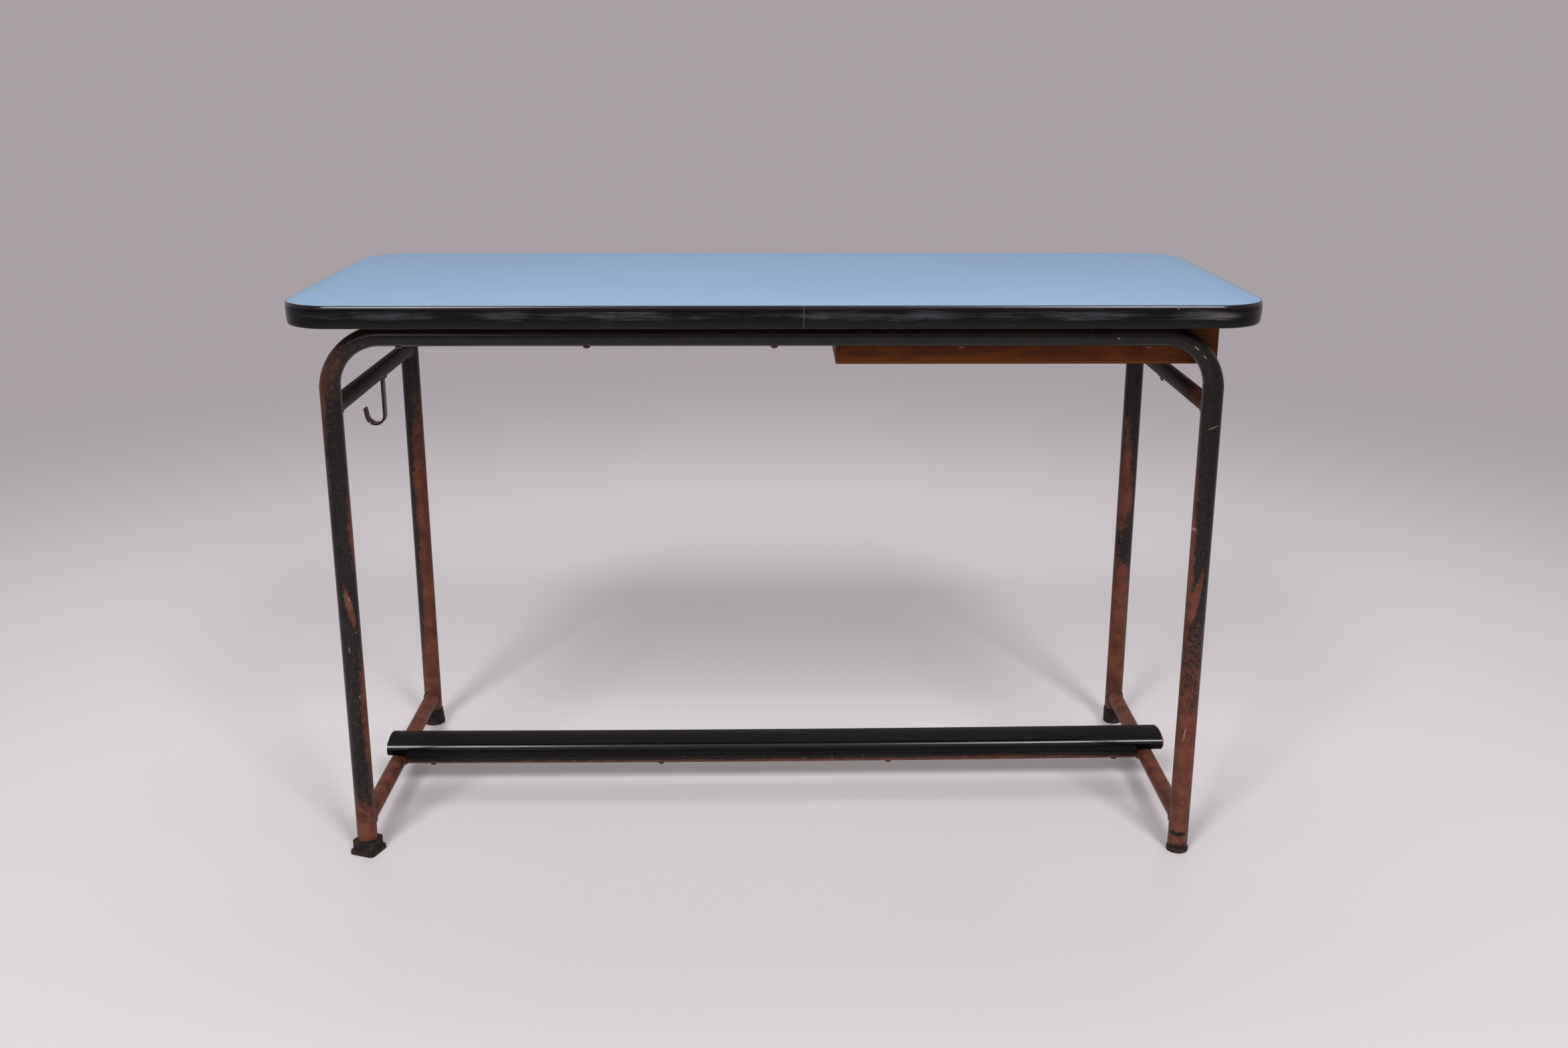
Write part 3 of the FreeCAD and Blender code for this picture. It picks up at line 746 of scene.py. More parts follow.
# %% [markdown]
# ## The top and its band
# The blue sheet lies flush with the black band. The band is a bull nose: a round shoulder under the
# blue edge, a slightly hollow-backed face and a round heel. A barbed tongue behind it sits in a saw
# groove of the core. It is one strip, and its two ends meet near the middle of the front in a
# hairline seam, filled with glue. The front left corner was trimmed a little, and the band lies
# thinner there. A bevelled plate would give the shoulder, but neither the seam nor the thinner
# stretch, so the section is carried round the sheet's own outline.

# %% Draw the outline of the top
table_low, table_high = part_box("edge_band")
band_bulge = 2.8 * MM
half_length, half_depth = table_high.x - band_bulge, table_high.y - band_bulge
top_height = table_high.z
top_depth = top_height - table_low.z
corner_radius = 65 * MM - band_bulge
corner_trim = 5.5 * MM
trimmed_thinning = 0.25
trim_start = Vector((-0.42, 0.28))
trim_reach = Vector((0.15, 0.54))


def near_trimmed_corner(place):
    """1 at the front left corner of the top, 0 away from it."""
    along, forward = [
        min(max((trim_start[axis] - place[axis]) / trim_reach[axis], 0), 1) for axis in (0, 1)]
    return along * forward


sheet_outline = []
for place, outward in round_corners(half_length, half_depth, corner_radius, 28):
    share = near_trimmed_corner(place)
    edge = Vector((place.x + share * corner_trim, place.y, top_height))
    sheet_outline.append((edge, outward * (1 - trimmed_thinning * share)))
print("the outline has", len(sheet_outline), "places")

# %% Draw the band's section
band_shoulder = 4.4 * MM
heel_curl, heel_reach = 0.45, 4.5 * MM
band_back_in_mm = 0.1
tongue_in_mm = [(band_back_in_mm, 1), (-3, 1), (-3, 1.5), (-6, 1), (-6, 1.5), (-9, 1)]
band_section = [(band_back_in_mm * MM, 0)]
for out, rise in curve_points((0, 0), 1, 90, 0, 14)[1:]:
    band_section.append((out * band_bulge, (rise - 1) * band_shoulder))
for out, fall in curve_points((0, 0), 1, 0, -90, 24)[1:]:
    band_section.append((
        band_bulge - (1 - out ** heel_curl) * heel_reach,
        fall * (top_depth - band_shoulder) - band_shoulder))
tongue_rise = 0.1 * MM
tongue_middle = tongue_rise - top_depth / 2
band_section += [(out * MM, tongue_middle - half * MM) for out, half in tongue_in_mm]
band_section += [(out * MM, tongue_middle + half * MM) for out, half in reversed(tongue_in_mm)]
print("the band's section has", len(band_section), "points")

# %% Make the band and the glue in its seam
seam_x = 38 * MM
seam_gap = 0.5 * MM
glue_sink = 0.2 * MM
glue_share = 0.97
to_front = Vector((0, -1, 0))


def seam_place(side, height):
    """Where an end of the band is, on one side of the seam."""
    return Vector((seam_x + side * seam_gap / 2, -half_depth, height))


band_stations = [(place, outward, UP) for place, outward in sheet_outline]
band_stations.insert(0, (seam_place(1, top_height), to_front, UP))
band_stations.append((seam_place(-1, top_height), to_front, UP))
band = swept(band_stations, band_section)
keep("bull_nose_band", band, edge_plastic, "edge_plastic", "edge_band")
glue_across, glue_up = to_front * glue_share, UP * (1 - 2 * glue_sink / top_depth)
glue_stations = [
    (seam_place(side, top_height - glue_sink), glue_across, glue_up) for side in (-1, 1)]
keep("seam_glue", swept(glue_stations, band_section), seam_glue, "edge_plastic")

# %% Make the blue sheet, the core and the backing
sheet_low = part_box("top_laminate")[0]
sheet_edge = 0.25 * MM
blue_sheet = stacked(sheet_outline, [
    (0, sheet_low.z), (0, top_height - sheet_edge),
    (sheet_edge / 3, top_height - sheet_edge / 3), (sheet_edge, top_height)])
keep("blue_sheet", blue_sheet, blue_laminate, "blue_laminate", "top_laminate")
core_low, core_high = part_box("top_panel")
groove_middle = (core_low.z + core_high.z) / 2
groove_half, groove_depth = 1.6 * MM, 10 * MM
groove_floor, groove_roof = groove_middle - groove_half, groove_middle + groove_half
grooved_core = stacked(sheet_outline, [
    (0, core_low.z), (0, groove_floor), (groove_depth, groove_floor),
    (groove_depth, groove_roof), (0, groove_roof), (0, core_high.z)])
keep("grooved_core", grooved_core, core_board, "core_board", "top_panel")
back_low, back_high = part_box("top_backing")
broken_edge = (0.4 * MM, 0.3 * MM)
brown_backing = stacked(sheet_outline, [
    (broken_edge[0], back_low.z), (0, back_low.z + broken_edge[1]), (0, back_high.z)])
keep("brown_backing", brown_backing, backing_sheet, "backing_sheet", "top_backing")

# %% [markdown]
# ## The bent tubes
# Each hoop is one tube bent twice. Its path is four points: foot, corner, corner, foot. Geometry
# Nodes rounds the corners and pulls a circle along the path, which is what the tube bender does. A
# named input sets the bend, so one recipe makes both hoops. The outer wall of a real bend stretches
# and flattens a little, so its points are pulled in afterwards. One class holds what every recipe
# has: a shape and a finish as inputs, the closing nodes, and the step that makes a plain mesh.

# %% A class for recipes
FLOAT, WHOLE, VECTOR = "NodeSocketFloat", "NodeSocketInt", "NodeSocketVector"


class Recipe(Tree):
    """A Geometry Nodes group with a shape in, a shape out, named inputs and a finish."""

    def __init__(self, name, inputs):
        group = bpy.data.node_groups.new(name, "GeometryNodeTree")
        for way in ("INPUT", "OUTPUT"):
            group.interface.new_socket("Shape", in_out=way, socket_type="NodeSocketGeometry")
        for label, kind in {**inputs, "Finish": "NodeSocketMaterial"}.items():
            group.interface.new_socket(label, in_out="INPUT", socket_type=kind)
        super().__init__(group)
        self.given = self.add("NodeGroupInput").outputs

    def value(self, name):
        """A named input as a number to reckon with."""
        return Value(self, self.given[name])

    def done(self, shape):
        """The end that every recipe has: real geometry, one finish, and the way out."""
        real = self.add("GeometryNodeRealizeInstances", {"Geometry": shape})
        coated = self.add("GeometryNodeSetMaterial", {
            "Geometry": real, "Material": self.given["Finish"]})
        self.add("NodeGroupOutput", {0: coated})
        print(self.tree.name, "uses", len(self.tree.nodes), "nodes")

    def make(self, piece, values):
        """The piece as the recipe makes it from the named values, turned into a plain mesh."""
        modifier = piece.modifiers.new(self.tree.name, "NODES")
        modifier.node_group = self.tree
        for item in self.tree.interface.items_tree:
            if item.name in values:
                modifier[item.identifier] = values[item.name]
        evaluated = piece.evaluated_get(bpy.context.evaluated_depsgraph_get())
        mesh = bpy.data.meshes.new_from_object(evaluated)
        piece.modifiers.clear()
        piece.data = mesh
        return piece


def drawn_lines(name, runs, closed=False):
    """An object of bare edges, one run of points after another. A closed run repeats no point."""
    mesh = bpy.data.meshes.new(name)
    points = []
    edges = []
    for run in runs:
        first = len(points)
        points += run
        edges += [(first + index, first + index + 1) for index in range(len(run) - 1)]
        if closed:
            edges.append((len(points) - 1, first))
    mesh.from_pydata(points, edges, [])
    return put(name, mesh)


print("a recipe's own inputs are one of", FLOAT, WHOLE, VECTOR)

# %% A recipe for bent tube
bent_tube = Recipe("bent_tube", {
    "Bend Radius": FLOAT, "Tube Radius": FLOAT, "Bend Steps": WHOLE})
given = bent_tube.given
path = bent_tube.add("GeometryNodeMeshToCurve", {"Mesh": given["Shape"]})
bends = bent_tube.add("GeometryNodeFilletCurve", {
    "Curve": path, "Radius": given["Bend Radius"], "Limit Radius": True,
    "Count": given["Bend Steps"]}, mode="POLY")
ring = bent_tube.add("GeometryNodeCurvePrimitiveCircle", {
    "Resolution": 56, "Radius": given["Tube Radius"]})
bent_tube.done(bent_tube.add("GeometryNodeCurveToMesh", {
    "Curve": bends, "Profile Curve": ring, "Fill Caps": True}))

# %% Bend the two hoops
hoop_radius = 13 * MM
bend_radius = 64 * MM
bend_steps = 28
bend_flattening = 2.8 * MM


def flatten_bends(mesh, centre_x, centre_z):
    """Pull in the outer wall of both bends, most at half the turn, about the bends' centres."""
    for vertex in mesh.vertices:
        across, up = abs(vertex.co.x) - centre_x, vertex.co.z - centre_z
        if across > 0 and up > 0:
            reach = math.hypot(across, up)
            outer = max(reach - bend_radius, 0) / hoop_radius
            halfway = 2 * across * up / reach ** 2
            kept = 1 - outer * halfway * bend_flattening / reach
            vertex.co.x = math.copysign(centre_x + across * kept, vertex.co.x)
            vertex.co.z = centre_z + up * kept


hoop_y = {}
for end, paint in (("front", front_hoop_paint), ("rear", rear_hoop_paint)):
    low, high, middle = span(end + "_hoop")
    hoop_y[end] = middle.y
    left_x, leg_x = low.x + hoop_radius, high.x - hoop_radius
    bar_z = high.z - hoop_radius
    feet_and_corners = [
        (x, middle.y, z)
        for x, z in ((left_x, low.z), (left_x, bar_z), (leg_x, bar_z), (leg_x, low.z))]
    hoop = bent_tube.make(drawn_lines(f"bent_{end}_hoop", [feet_and_corners]), {
        "Bend Radius": bend_radius, "Tube Radius": hoop_radius, "Bend Steps": bend_steps,
        "Finish": paint})
    flatten_bends(hoop.data, leg_x - bend_radius, bar_z - bend_radius)
    settle(hoop, paint, [end + "_hoop"])

# %% [markdown]
# ## The weld beads
# A bead follows the line where two tubes meet: a saddle. Its points come from the two radii, and a
# recipe pulls a small circle along them, then swells and pinches it in ripples, because a weld is a
# row of overlapping puddles. Noise roughens the rest.

# %% A recipe for weld beads
bead_step = 0.5 * MM
puddle_length = 2.4 * MM
lump_scale, bump_scale = 180, 420
weld_bead = Recipe("weld_bead", {"Bead Radius": FLOAT, "Ripple": FLOAT, "Roughness": FLOAT})
given = weld_bead.given
path = weld_bead.add("GeometryNodeMeshToCurve", {"Mesh": given["Shape"]})
even = weld_bead.add(
    "GeometryNodeResampleCurve", {"Curve": path, "Length": bead_step}, mode="LENGTH")
ring = weld_bead.add("GeometryNodeCurvePrimitiveCircle", {
    "Resolution": 12, "Radius": given["Bead Radius"]})
along = weld_bead.add("GeometryNodeSplineParameter").outputs["Length"]
puddles = Value(weld_bead, along) * (math.tau / puddle_length)
lumps = Value(weld_bead, weld_bead.add("ShaderNodeTexNoise", {
    "Scale": lump_scale, "Detail": 2}).outputs["Fac"])
swelling = 1 + puddles.wave() * weld_bead.value("Ripple") + (lumps - 0.5) * 0.9
thick = weld_bead.add("GeometryNodeSetCurveRadius", {"Curve": even, "Radius": swelling})
bead = weld_bead.add("GeometryNodeCurveToMesh", {
    "Curve": thick, "Profile Curve": ring, "Scale": swelling, "Fill Caps": True})
bumps = Value(weld_bead, weld_bead.add("ShaderNodeTexNoise", {
    "Scale": bump_scale, "Detail": 2}).outputs["Fac"])
push = weld_bead.add("ShaderNodeVectorMath", {
    0: weld_bead.add("GeometryNodeInputNormal"),
    "Scale": (bumps - 0.5) * weld_bead.value("Roughness")}, operation="SCALE")
weld_bead.done(weld_bead.add("GeometryNodeSetPosition", {"Geometry": bead, "Offset": push}))

# %% Weld the rails to the legs
rail_radius = 11 * MM
saddle_steps = 48
weld_rise = 0.5 * MM
saddle_radius = rail_radius + weld_rise


def weld(lines, node, finish=weld_metal, bead_radius=1.9 * MM):
    """Beads along drawn lines, in the place of a CAD node's beads."""
    beads = weld_bead.make(lines, {
        "Bead Radius": bead_radius, "Ripple": 0.12, "Roughness": 1.0 * MM, "Finish": finish})
    settle(beads, finish, [node], sharp_deg=80)


def leg_saddle(side_x, leg_y, height, inward):
    """The closed line where a side rail meets a round leg."""
    points = []
    for across, rise in curve_points((0, 0), saddle_radius, 0, 360, saddle_steps)[:-1]:
        reach = math.sqrt((hoop_radius + weld_rise) ** 2 - across ** 2)
        points.append((side_x + across, leg_y + inward * reach, height + rise))
    return points


saddles = []
for level in ("upper", "lower"):
    rail_middle = span(level + "_rail_left")[2]
    for side in (-1, 1):
        for end, inward in (("front", 1), ("rear", -1)):
            saddles.append(leg_saddle(side * leg_x, hoop_y[end], rail_middle.z, inward))
weld(drawn_lines("leg_weld_beads", saddles, closed=True), "rail_welds")

# %% [markdown]
# ## The footrest
# A slat wrapped in a plastic profile lies on a cross tube. The cover's top is crowned and its long
# edges are round, and it grips the slat with a lip under each side. The tube was welded in a little
# out of square, and the whole footrest has sunk in the middle by two millimetres from years of
# feet. A straight bar could be bent afterwards. It is simpler to let one function say where each
# place of the footrest really is, and to build the cover, the slat, the tube and its welds on it.

# %% Lay out the footrest
foot_turn = math.radians(0.85)
foot_shift = Vector((0, -14.5 * MM, 0))
foot_sag = 2 * MM
foot_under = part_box("footrest_cover")[0].z
foot_left, foot_right = -554.5 * MM, 562.5 * MM
slat_right = foot_right + 2.2 * MM
foot_steps = 40


def on_footrest(x, y, z):
    """A place of the footrest's own layout, sunk and turned to where it is on the desk."""
    share = x / (leg_x + hoop_radius)
    sunk = z - foot_sag * max(1 - share ** 2, 0)
    turned_x = x * math.cos(foot_turn) - y * math.sin(foot_turn)
    turned_y = x * math.sin(foot_turn) + y * math.cos(foot_turn)
    return Vector((turned_x, turned_y, sunk)) + foot_shift


def footrest_stations(start_x, end_x, y=0, z=0):
    """Stations along the footrest, at a distance beside and above its own axis."""
    across = Vector((-math.sin(foot_turn), math.cos(foot_turn), 0))
    stations = []
    for index in range(foot_steps + 1):
        x = start_x + (end_x - start_x) * index / foot_steps
        stations.append((on_footrest(x, y, z), across, UP))
    return stations


print("the footrest sags by", foot_sag / MM, "mm over", round((foot_right - foot_left) / MM), "mm")

# %% Draw the cover's section
cover_half, cover_foot_half = 28.5 * MM, 25.5 * MM
cover_nose = 9 * MM
nose_height = foot_under + 8.5 * MM
crown_height = foot_under + 20.5 * MM
flank_share = 0.3


def arc_through(start, middle, end, count):
    """Points on the arc through three (across, up) points."""
    (ax, ay), (bx, by), (cx, cy) = start, middle, end
    double = 2 * (ax * (by - cy) + bx * (cy - ay) + cx * (ay - by))
    squares = [x * x + y * y for x, y in (start, middle, end)]
    centre_x = (squares[0] * (by - cy) + squares[1] * (cy - ay) + squares[2] * (ay - by)) / double
    centre_y = (squares[0] * (cx - bx) + squares[1] * (ax - cx) + squares[2] * (bx - ax)) / double
    radius = math.hypot(ax - centre_x, ay - centre_y)
    first = math.degrees(math.atan2(ay - centre_y, ax - centre_x))
    last = math.degrees(math.atan2(cy - centre_y, cx - centre_x))
    sweep = (last - first + 540) % 360 - 180
    return curve_points((centre_x, centre_y), radius, first, first + sweep, count)


def crowned(inset, bottom):
    """The footrest's outline over the top, from its rear foot to its front foot."""
    half = cover_half - inset
    foot_half = cover_foot_half - inset
    nose_radius = cover_nose - inset
    flank = (half - (half - foot_half) * flank_share, (bottom + nose_height) / 2)
    rear = arc_through((foot_half, bottom), flank, (half, nose_height), 5)
    rear += curve_points((half - nose_radius, nose_height), nose_radius, 0, 90, 12)[1:]
    front = [(-across, up) for across, up in reversed(rear)]
    crown = arc_through(rear[-1], (0, crown_height - inset), front[0], 16)
    return rear[:-1] + crown + front[1:]


print("the cover's outer side has", len(crowned(0, foot_under)), "points")

# %% Make the cover, the slat and the tube
cover_wall = 2 * MM
slat_gap = 0.1 * MM
lip_inner = 17.5 * MM
lip_top = foot_under + cover_wall
cover_section = crowned(0, foot_under) + [(-lip_inner, foot_under), (-lip_inner, lip_top)]
cover_section += crowned(cover_wall, lip_top)[::-1] + [
    (lip_inner, lip_top), (lip_inner, foot_under)]
cover = swept(footrest_stations(foot_left, foot_right), cover_section)
keep("plastic_cover", cover, footrest_plastic, "footrest_plastic", "footrest_cover")
sole_half, sole_top = lip_inner - slat_gap, lip_top + slat_gap
slat_section = crowned(cover_wall + slat_gap, sole_top) + [
    (-sole_half, sole_top), (-sole_half, foot_under), (sole_half, foot_under),
    (sole_half, sole_top)]
slat = swept(footrest_stations(foot_left, slat_right), slat_section)
keep("wooden_slat", slat, slat_wood, "slat_wood", "footrest_board")
tube_section = curve_points((0, 0), rail_radius, 0, 360, 48)[:-1]
tube_y, tube_z = -3 * MM, foot_under - rail_radius
tube_cope = 6 * MM
tube_reach = leg_x - tube_cope
tube = swept(footrest_stations(-tube_reach, tube_reach, tube_y, tube_z), tube_section)
keep("cross_tube", tube, cross_tube_paint, "frame_paint", "footrest_tube")


# %% Weld the cross tube to the lower rails
def tube_saddle(side):
    """The lower half of the line where the cross tube meets a lower rail."""
    middle = on_footrest(side * leg_x, tube_y, tube_z)
    points = []
    for beside, rise in curve_points((0, 0), saddle_radius, 190, 350, saddle_steps):
        reach = math.sqrt(max((rail_radius + 2 * weld_rise) ** 2 - rise ** 2, 0))
        points.append((side * (leg_x - reach), middle.y + beside, middle.z + rise))
    return points


tube_saddles = [tube_saddle(side) for side in (-1, 1)]
weld(drawn_lines("tube_weld_beads", tube_saddles), "footrest_tube_welds")

# %% [markdown]
# ## The bag hook
# A flat steel strip bent to a J hangs from the left upper rail, and its open end points outwards.
# It is rolled flat bar, so its long edges are round. The tip was ground off a little, so the last
# stations make the section smaller, which a plain curve with one profile could not do as simply.

# %% Bend the hook
hook_low, hook_high, hook_middle = span("bag_hook")
strip_thick = 3 * MM
strip_corner = 0.7 * MM
hook_bend = 12.5 * MM
hook_centre_rise = 14 * MM
hook_end_deg = -170
hook_steps = 28
ground_tip_in_mm = [(8, 1), (11, 1), (12, 0.85), (12.5, 0.5)]
strip_rise = 1 * MM
to_right, to_rear = Vector((1, 0, 0)), Vector((0, 1, 0))
strip_x = hook_high.x - strip_thick / 2
centre = Vector((strip_x - hook_bend, hook_middle.y, hook_low.z + hook_centre_rise))
hook_stations = [
    (Vector((strip_x, hook_middle.y, hook_high.z + strip_rise)), to_right, to_rear)]
for index in range(hook_steps + 1):
    angle = math.radians(hook_end_deg * index / hook_steps)
    outward = Vector((math.cos(angle), 0, math.sin(angle)))
    hook_stations.append((centre + outward * hook_bend, outward, to_rear))
place, outward, _ = hook_stations[-1]
along = Vector((outward.z, 0, -outward.x))
for distance, shrink in ground_tip_in_mm:
    hook_stations.append((
        place + along * distance * MM, outward * shrink, to_rear * (0.6 + 0.4 * shrink)))
strip_half = (hook_high.y - hook_low.y) / 2
strip_section = [
    (corner.x, corner.y)
    for corner, _ in round_corners(strip_thick / 2, strip_half, strip_corner, 4)]
hook = swept(hook_stations, strip_section)
keep("strip_hook", hook, hook_paint, "frame_paint", "bag_hook")

# %% Weld the hook and the torn root
rail_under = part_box("upper_rail_left")[0].z
hook_bead_radius = 2.4 * MM
hook_bead_out = strip_thick / 2 + 0.6 * MM
runs = []
for side, bead_rise in ((-1, -0.2 * MM), (1, 1.2 * MM)):
    for face in (-1, 1):
        x = side * leg_x + face * hook_bead_out
        runs.append([
            (x, y, rail_under + bead_rise) for y in (hook_low.y, hook_middle.y, hook_high.y)])
weld(drawn_lines("hook_weld_beads", runs), "hook_welds", painted_weld, hook_bead_radius)

# %% [markdown]
# ## The torn root
# Only the root of a second hook is left, under the right rail. The strip was bent to and fro until
# it tore, so its lower edge is ragged and has two short prongs. It could be sculpted, but the line
# of its lower edge says all that can be seen. It is one outline, pushed through the strip's
# thickness, and both faces are drawn in a little so that the edges look soft.

# %% Tear the root
root_low, root_high, root_middle = span("hook_stub")
root_half = (root_high.y - root_low.y) / 2
root_tip = root_low.z - 3 * MM
root_height, root_soft_edge = 8 * MM, 0.5 * MM
root_shrink, root_lift = 0.92, 5 * MM
torn_edge_in_mm = [
    (-1, 4.4), (-0.6, 3.7), (-0.36, 3.0), (-0.24, 0.4), (-0.16, 0), (-0.02, 2.6),
    (0.12, 2.0), (0.3, 1.0), (0.5, 0.7), (0.66, 1.3), (0.82, 3.1), (1, 4.6)]
torn_section = [(share * root_half, rise * MM) for share, rise in torn_edge_in_mm]
torn_section = [(-root_half, root_height), *torn_section, (root_half, root_height)]
root_stations = []
for x, shrink in (
        (root_low.x, root_shrink), (root_low.x + root_soft_edge, 1),
        (root_high.x - root_soft_edge, 1), (root_high.x, root_shrink)):
    place = Vector((x, root_middle.y, root_tip + (1 - shrink) * root_lift))
    root_stations.append((place, to_rear * shrink, UP * shrink))
keep("torn_root", swept(root_stations, torn_section), painted_weld, "frame_paint", "hook_stub")

# %% [markdown]
# ## The shelf
# The shelf is a shallow plywood box under the right half, held to the top by three battens. Its
# boards are plain, but a sawn board never has a knife edge. Each one is a cube, stretched to the
# box of its CAD node, and a bevel gives every edge a small round that catches the light.

# %% Cut the shelf's boards
edge_round = 0.7 * MM
shelf_boards = [
    ("front", front_ply), ("wall_left", wall_ply), ("wall_right", wall_ply), ("floor", floor_ply),
    ("cleat_left", cleat_wood), ("cleat_right", cleat_wood), ("cleat_front", cleat_wood)]
for board, finish in shelf_boards:
    low, high, middle = span("shelf_" + board)
    shape = bmesh.new()
    bmesh.ops.create_cube(shape, size=1)
    for vertex in shape.verts:
        vertex.co = Vector([
            low[axis] + (high[axis] - low[axis]) * (vertex.co[axis] + 0.5) for axis in range(3)])
    bmesh.ops.bevel(
        shape, geom=list(shape.edges), offset=edge_round, segments=3, profile=0.5,
        affect="EDGES")
    slot = "cleat_wood" if finish is cleat_wood else "shelf_plywood"
    keep("rounded_shelf_" + board, shape, finish, slot, "shelf_" + board)

# %% [markdown]
# ## The feet
# Four feet, and no two alike: a square block at the front left, a flared cup and a straight cup at
# the back, and a plug at the front right. The cups and the plug are turned shapes, so a short list
# of radius and height pairs says all about them. The block is a square with round corners that is
# drawn in from layer to layer, which gives its step and its soft edges in one go.

# %% Turn the cups and the plug
sole = 7 * MM
foot_turn_steps = 48
waist_radius = hoop_radius + 1.2 * MM
bore_radius = hoop_radius + 0.1 * MM
stem_radius = hoop_radius - 1.6 * MM
stem_edge = 1 * MM
cup_rim_in_mm = [(0, 3.4), (0.3, 3), (0.3, 2.4), (0, 2), (0, 0.5), (0.4, 0)]
plug_rim_in_mm = [(0, 0.8), (0.3, 0.2), (0.9, 0)]


def foot_place(node):
    """Where a foot's middle meets the floor, its radius and its height."""
    low, high, middle = span(node)
    return Vector((middle.x, middle.y, 0)), (high.x - low.x) / 2, high.z


def sole_edge(radius, edge):
    """The underside of a round foot and its soft edge."""
    return [(0, 0), *curve_points((radius - edge, edge), edge, -90, 0, 4)]


for node in ("foot_rear_left", "foot_rear_right"):
    centre, radius, height = foot_place(node)
    profile = sole_edge(radius, 1.2 * MM)
    for share in (0.25, 0.4, 0.55, 0.7):
        profile.append((radius + (waist_radius - radius) * share, height * share))
    profile += [(waist_radius - inset * MM, height - drop * MM) for inset, drop in cup_rim_in_mm]
    profile += [(bore_radius, height), (bore_radius, sole), (0, sole)]
    cup = turned(profile, centre, foot_turn_steps)
    keep("cup_" + node, cup, foot_rubber, "foot_rubber", node)

centre, radius, height = foot_place("foot_front_right")
profile = sole_edge(radius, 1 * MM)
profile += [(radius - inset * MM, sole - drop * MM) for inset, drop in plug_rim_in_mm]
profile += [
    (stem_radius, sole), (stem_radius, height - stem_edge), (stem_radius - stem_edge, height),
    (0, height)]
plug = turned(profile, centre, foot_turn_steps)
keep("plug_foot_front_right", plug, foot_rubber, "foot_rubber", "foot_front_right")

# %% Mould the square block
block_half, block_corner = 18 * MM, 5.6 * MM
block_turn = Euler((0, 0, math.radians(-20)))
block_layers_in_mm = [
    (1.0, 0), (0.3, 0.3), (0, 1.0), (0, 5.0), (0.3, 5.7), (1.0, 6.0),
    (3.0, 6.2), (3.4, 6.6), (3.6, 11.2), (4.1, 11.6), (4.1, 12.4), (3.6, 12.8), (3.6, 18.8),
    (3.9, 19.6), (4.7, 20.0)]
centre = foot_place("foot_front_left")[0]
block_outline = round_corners(block_half, block_half, block_corner, 8)
for place, outward in block_outline:
    place.rotate(block_turn)
    outward.rotate(block_turn)
block = stacked(
    [(centre + place, outward) for place, outward in block_outline],
    [(inset * MM, height * MM) for inset, height in block_layers_in_mm])
keep("block_foot_front_left", block, foot_rubber, "foot_rubber", "foot_front_left")

# %% [markdown]
# ## Screws and pins
# Ten round-head screws hold the top, four hold the footrest, and small pins and screws hold the
# shelf. They are all one shape in a row, which is work for Geometry Nodes: a line of points, one
# head on each, every head turned by chance with a fixed seed. The slot is cut before the head is
# repeated.

# %% A recipe for a row of heads
row_of_heads = Recipe("row_of_heads", {
    "Count": WHOLE, "First": VECTOR, "Spacing": VECTOR, "Slot Width": FLOAT,
    "Slot Depth": FLOAT, "Head Height": FLOAT, "Seed": WHOLE})
given = row_of_heads.given
cutter_length = 30 * MM
cutter_size = row_of_heads.add("ShaderNodeCombineXYZ", {
    0: cutter_length, 1: given["Slot Width"], 2: row_of_heads.value("Slot Depth") * 2})
cutter_drop = row_of_heads.add("ShaderNodeCombineXYZ", {
    2: row_of_heads.value("Head Height") * -1})
cutter = row_of_heads.add("GeometryNodeTransform", {
    "Geometry": row_of_heads.add("GeometryNodeMeshCube", {"Size": cutter_size}),
    "Translation": cutter_drop})
slotted = row_of_heads.add("GeometryNodeMeshBoolean", {
    "Mesh 1": given["Shape"], "Mesh 2": cutter}, operation="DIFFERENCE")
line = row_of_heads.add("GeometryNodeMeshLine", {
    "Count": given["Count"], "Start Location": given["First"], "Offset": given["Spacing"]})
spin = row_of_heads.add("FunctionNodeRandomValue", {
    2: 0.0, 3: math.tau, "Seed": given["Seed"]}, data_type="FLOAT")
turn = row_of_heads.add("ShaderNodeCombineXYZ", {2: spin.outputs[1]})
row_of_heads.done(row_of_heads.add("GeometryNodeInstanceOnPoints", {
    "Points": line, "Instance": slotted, "Rotation": turn}))


# %% A helper that drives a row
rim_share, slot_width_share, slot_depth_share = 0.2, 0.26, 0.42


def head_row(name, kind, first, spacing, count, seed):
    """A row of one kind of head, from its first place and the step to the next."""
    radius, height, steps = kind
    rim = height * rim_share
    profile = [(0, 0), (radius, 0)]
    for across, up in curve_points((0, 0), 1, 0, 90, 5):
        profile.append((radius * across, -rim - (height - rim) * up))
    profile[-1] = (0, -height)
    head = plain(name, turned(profile, Vector((0, 0, 0)), steps))
    row = row_of_heads.make(head, {
        "Count": count, "First": first, "Spacing": spacing,
        "Slot Width": radius * slot_width_share, "Slot Depth": height * slot_depth_share,
        "Head Height": height, "Seed": seed, "Finish": screw_steel})
    settle(row, screw_steel)


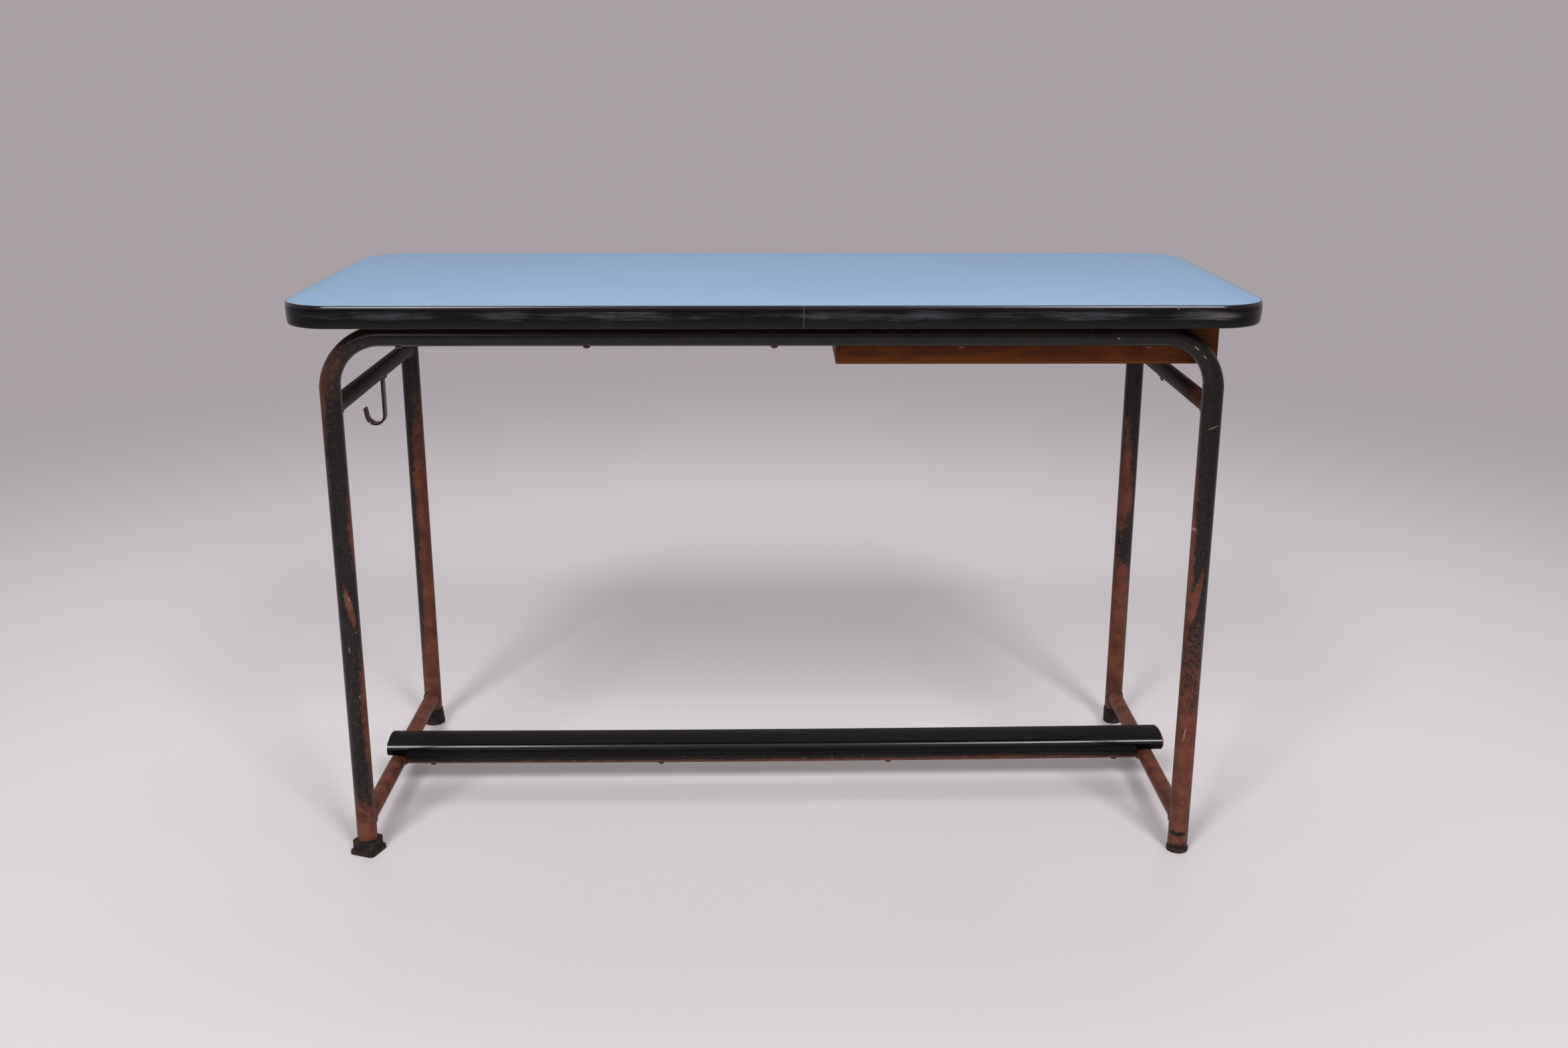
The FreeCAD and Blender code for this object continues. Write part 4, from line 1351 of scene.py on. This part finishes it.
big_screw = (4.5 * MM, 3.2 * MM, 20)
small_screw = (3.5 * MM, 2.2 * MM, 20)
pin = (1.8 * MM, 0.7 * MM, 12)
print("head radii in mm:", [round(kind[0] / MM, 1) for kind in (big_screw, small_screw, pin)])

# %% Drive the screws of the top and the footrest
head_gap = 0.15 * MM
bar_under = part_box("front_hoop")[1].z - 2 * hoop_radius
top_screw_step, top_screw_middle = 228 * MM, 2.6 * MM
for seed, end in enumerate(("front", "rear"), 1):
    first = (top_screw_middle - 2 * top_screw_step, hoop_y[end], bar_under + head_gap)
    head_row("top_screws_" + end, big_screw, first, (top_screw_step, 0, 0), 5, seed)
foot_screw_step, foot_screw_middle = 331 * MM, 2 * MM
tube_under = foot_under - 2 * rail_radius
for index in range(4):
    along_tube = foot_screw_middle + foot_screw_step * (index - 1.5)
    place = on_footrest(along_tube, tube_y, tube_under + head_gap)
    head_row(f"footrest_screw_{index + 1}", big_screw, tuple(place), (0, 0, 0), 1, 10 + index)

# %% Drive the pins and screws of the shelf
floor_low, floor_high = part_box("shelf_floor")
pin_inset = 5 * MM
pin_sink = 0.05 * MM
pin_z = floor_low.z + pin_sink
pin_step = (floor_high.x - floor_low.x - 2 * pin_inset) / 4
first = (floor_low.x + pin_inset, floor_low.y + pin_inset, pin_z)
head_row("shelf_pins_front", pin, first, (pin_step, 0, 0), 5, 21)
side_step = (floor_high.y - floor_low.y) / 4
for seed, (side, x) in enumerate(
        (("left", floor_low.x + pin_inset), ("right", floor_high.x - pin_inset)), 22):
    first = (x, floor_low.y + side_step, pin_z)
    head_row("shelf_pins_" + side, pin, first, (0, side_step, 0), 3, seed)
cleat_share = 0.18
cleat_sink = 0.1 * MM
for seed, (side, axis, count) in enumerate((("left", 1, 2), ("right", 1, 2), ("front", 0, 3)), 31):
    low, high, middle = span("shelf_cleat_" + side)
    length = high[axis] - low[axis]
    first = [middle.x, middle.y, low.z + cleat_sink]
    first[axis] = low[axis] + length * cleat_share
    spacing = [0, 0, 0]
    spacing[axis] = length * (1 - 2 * cleat_share) / (count - 1)
    head_row("cleat_screws_" + side, small_screw, first, spacing, count, seed)
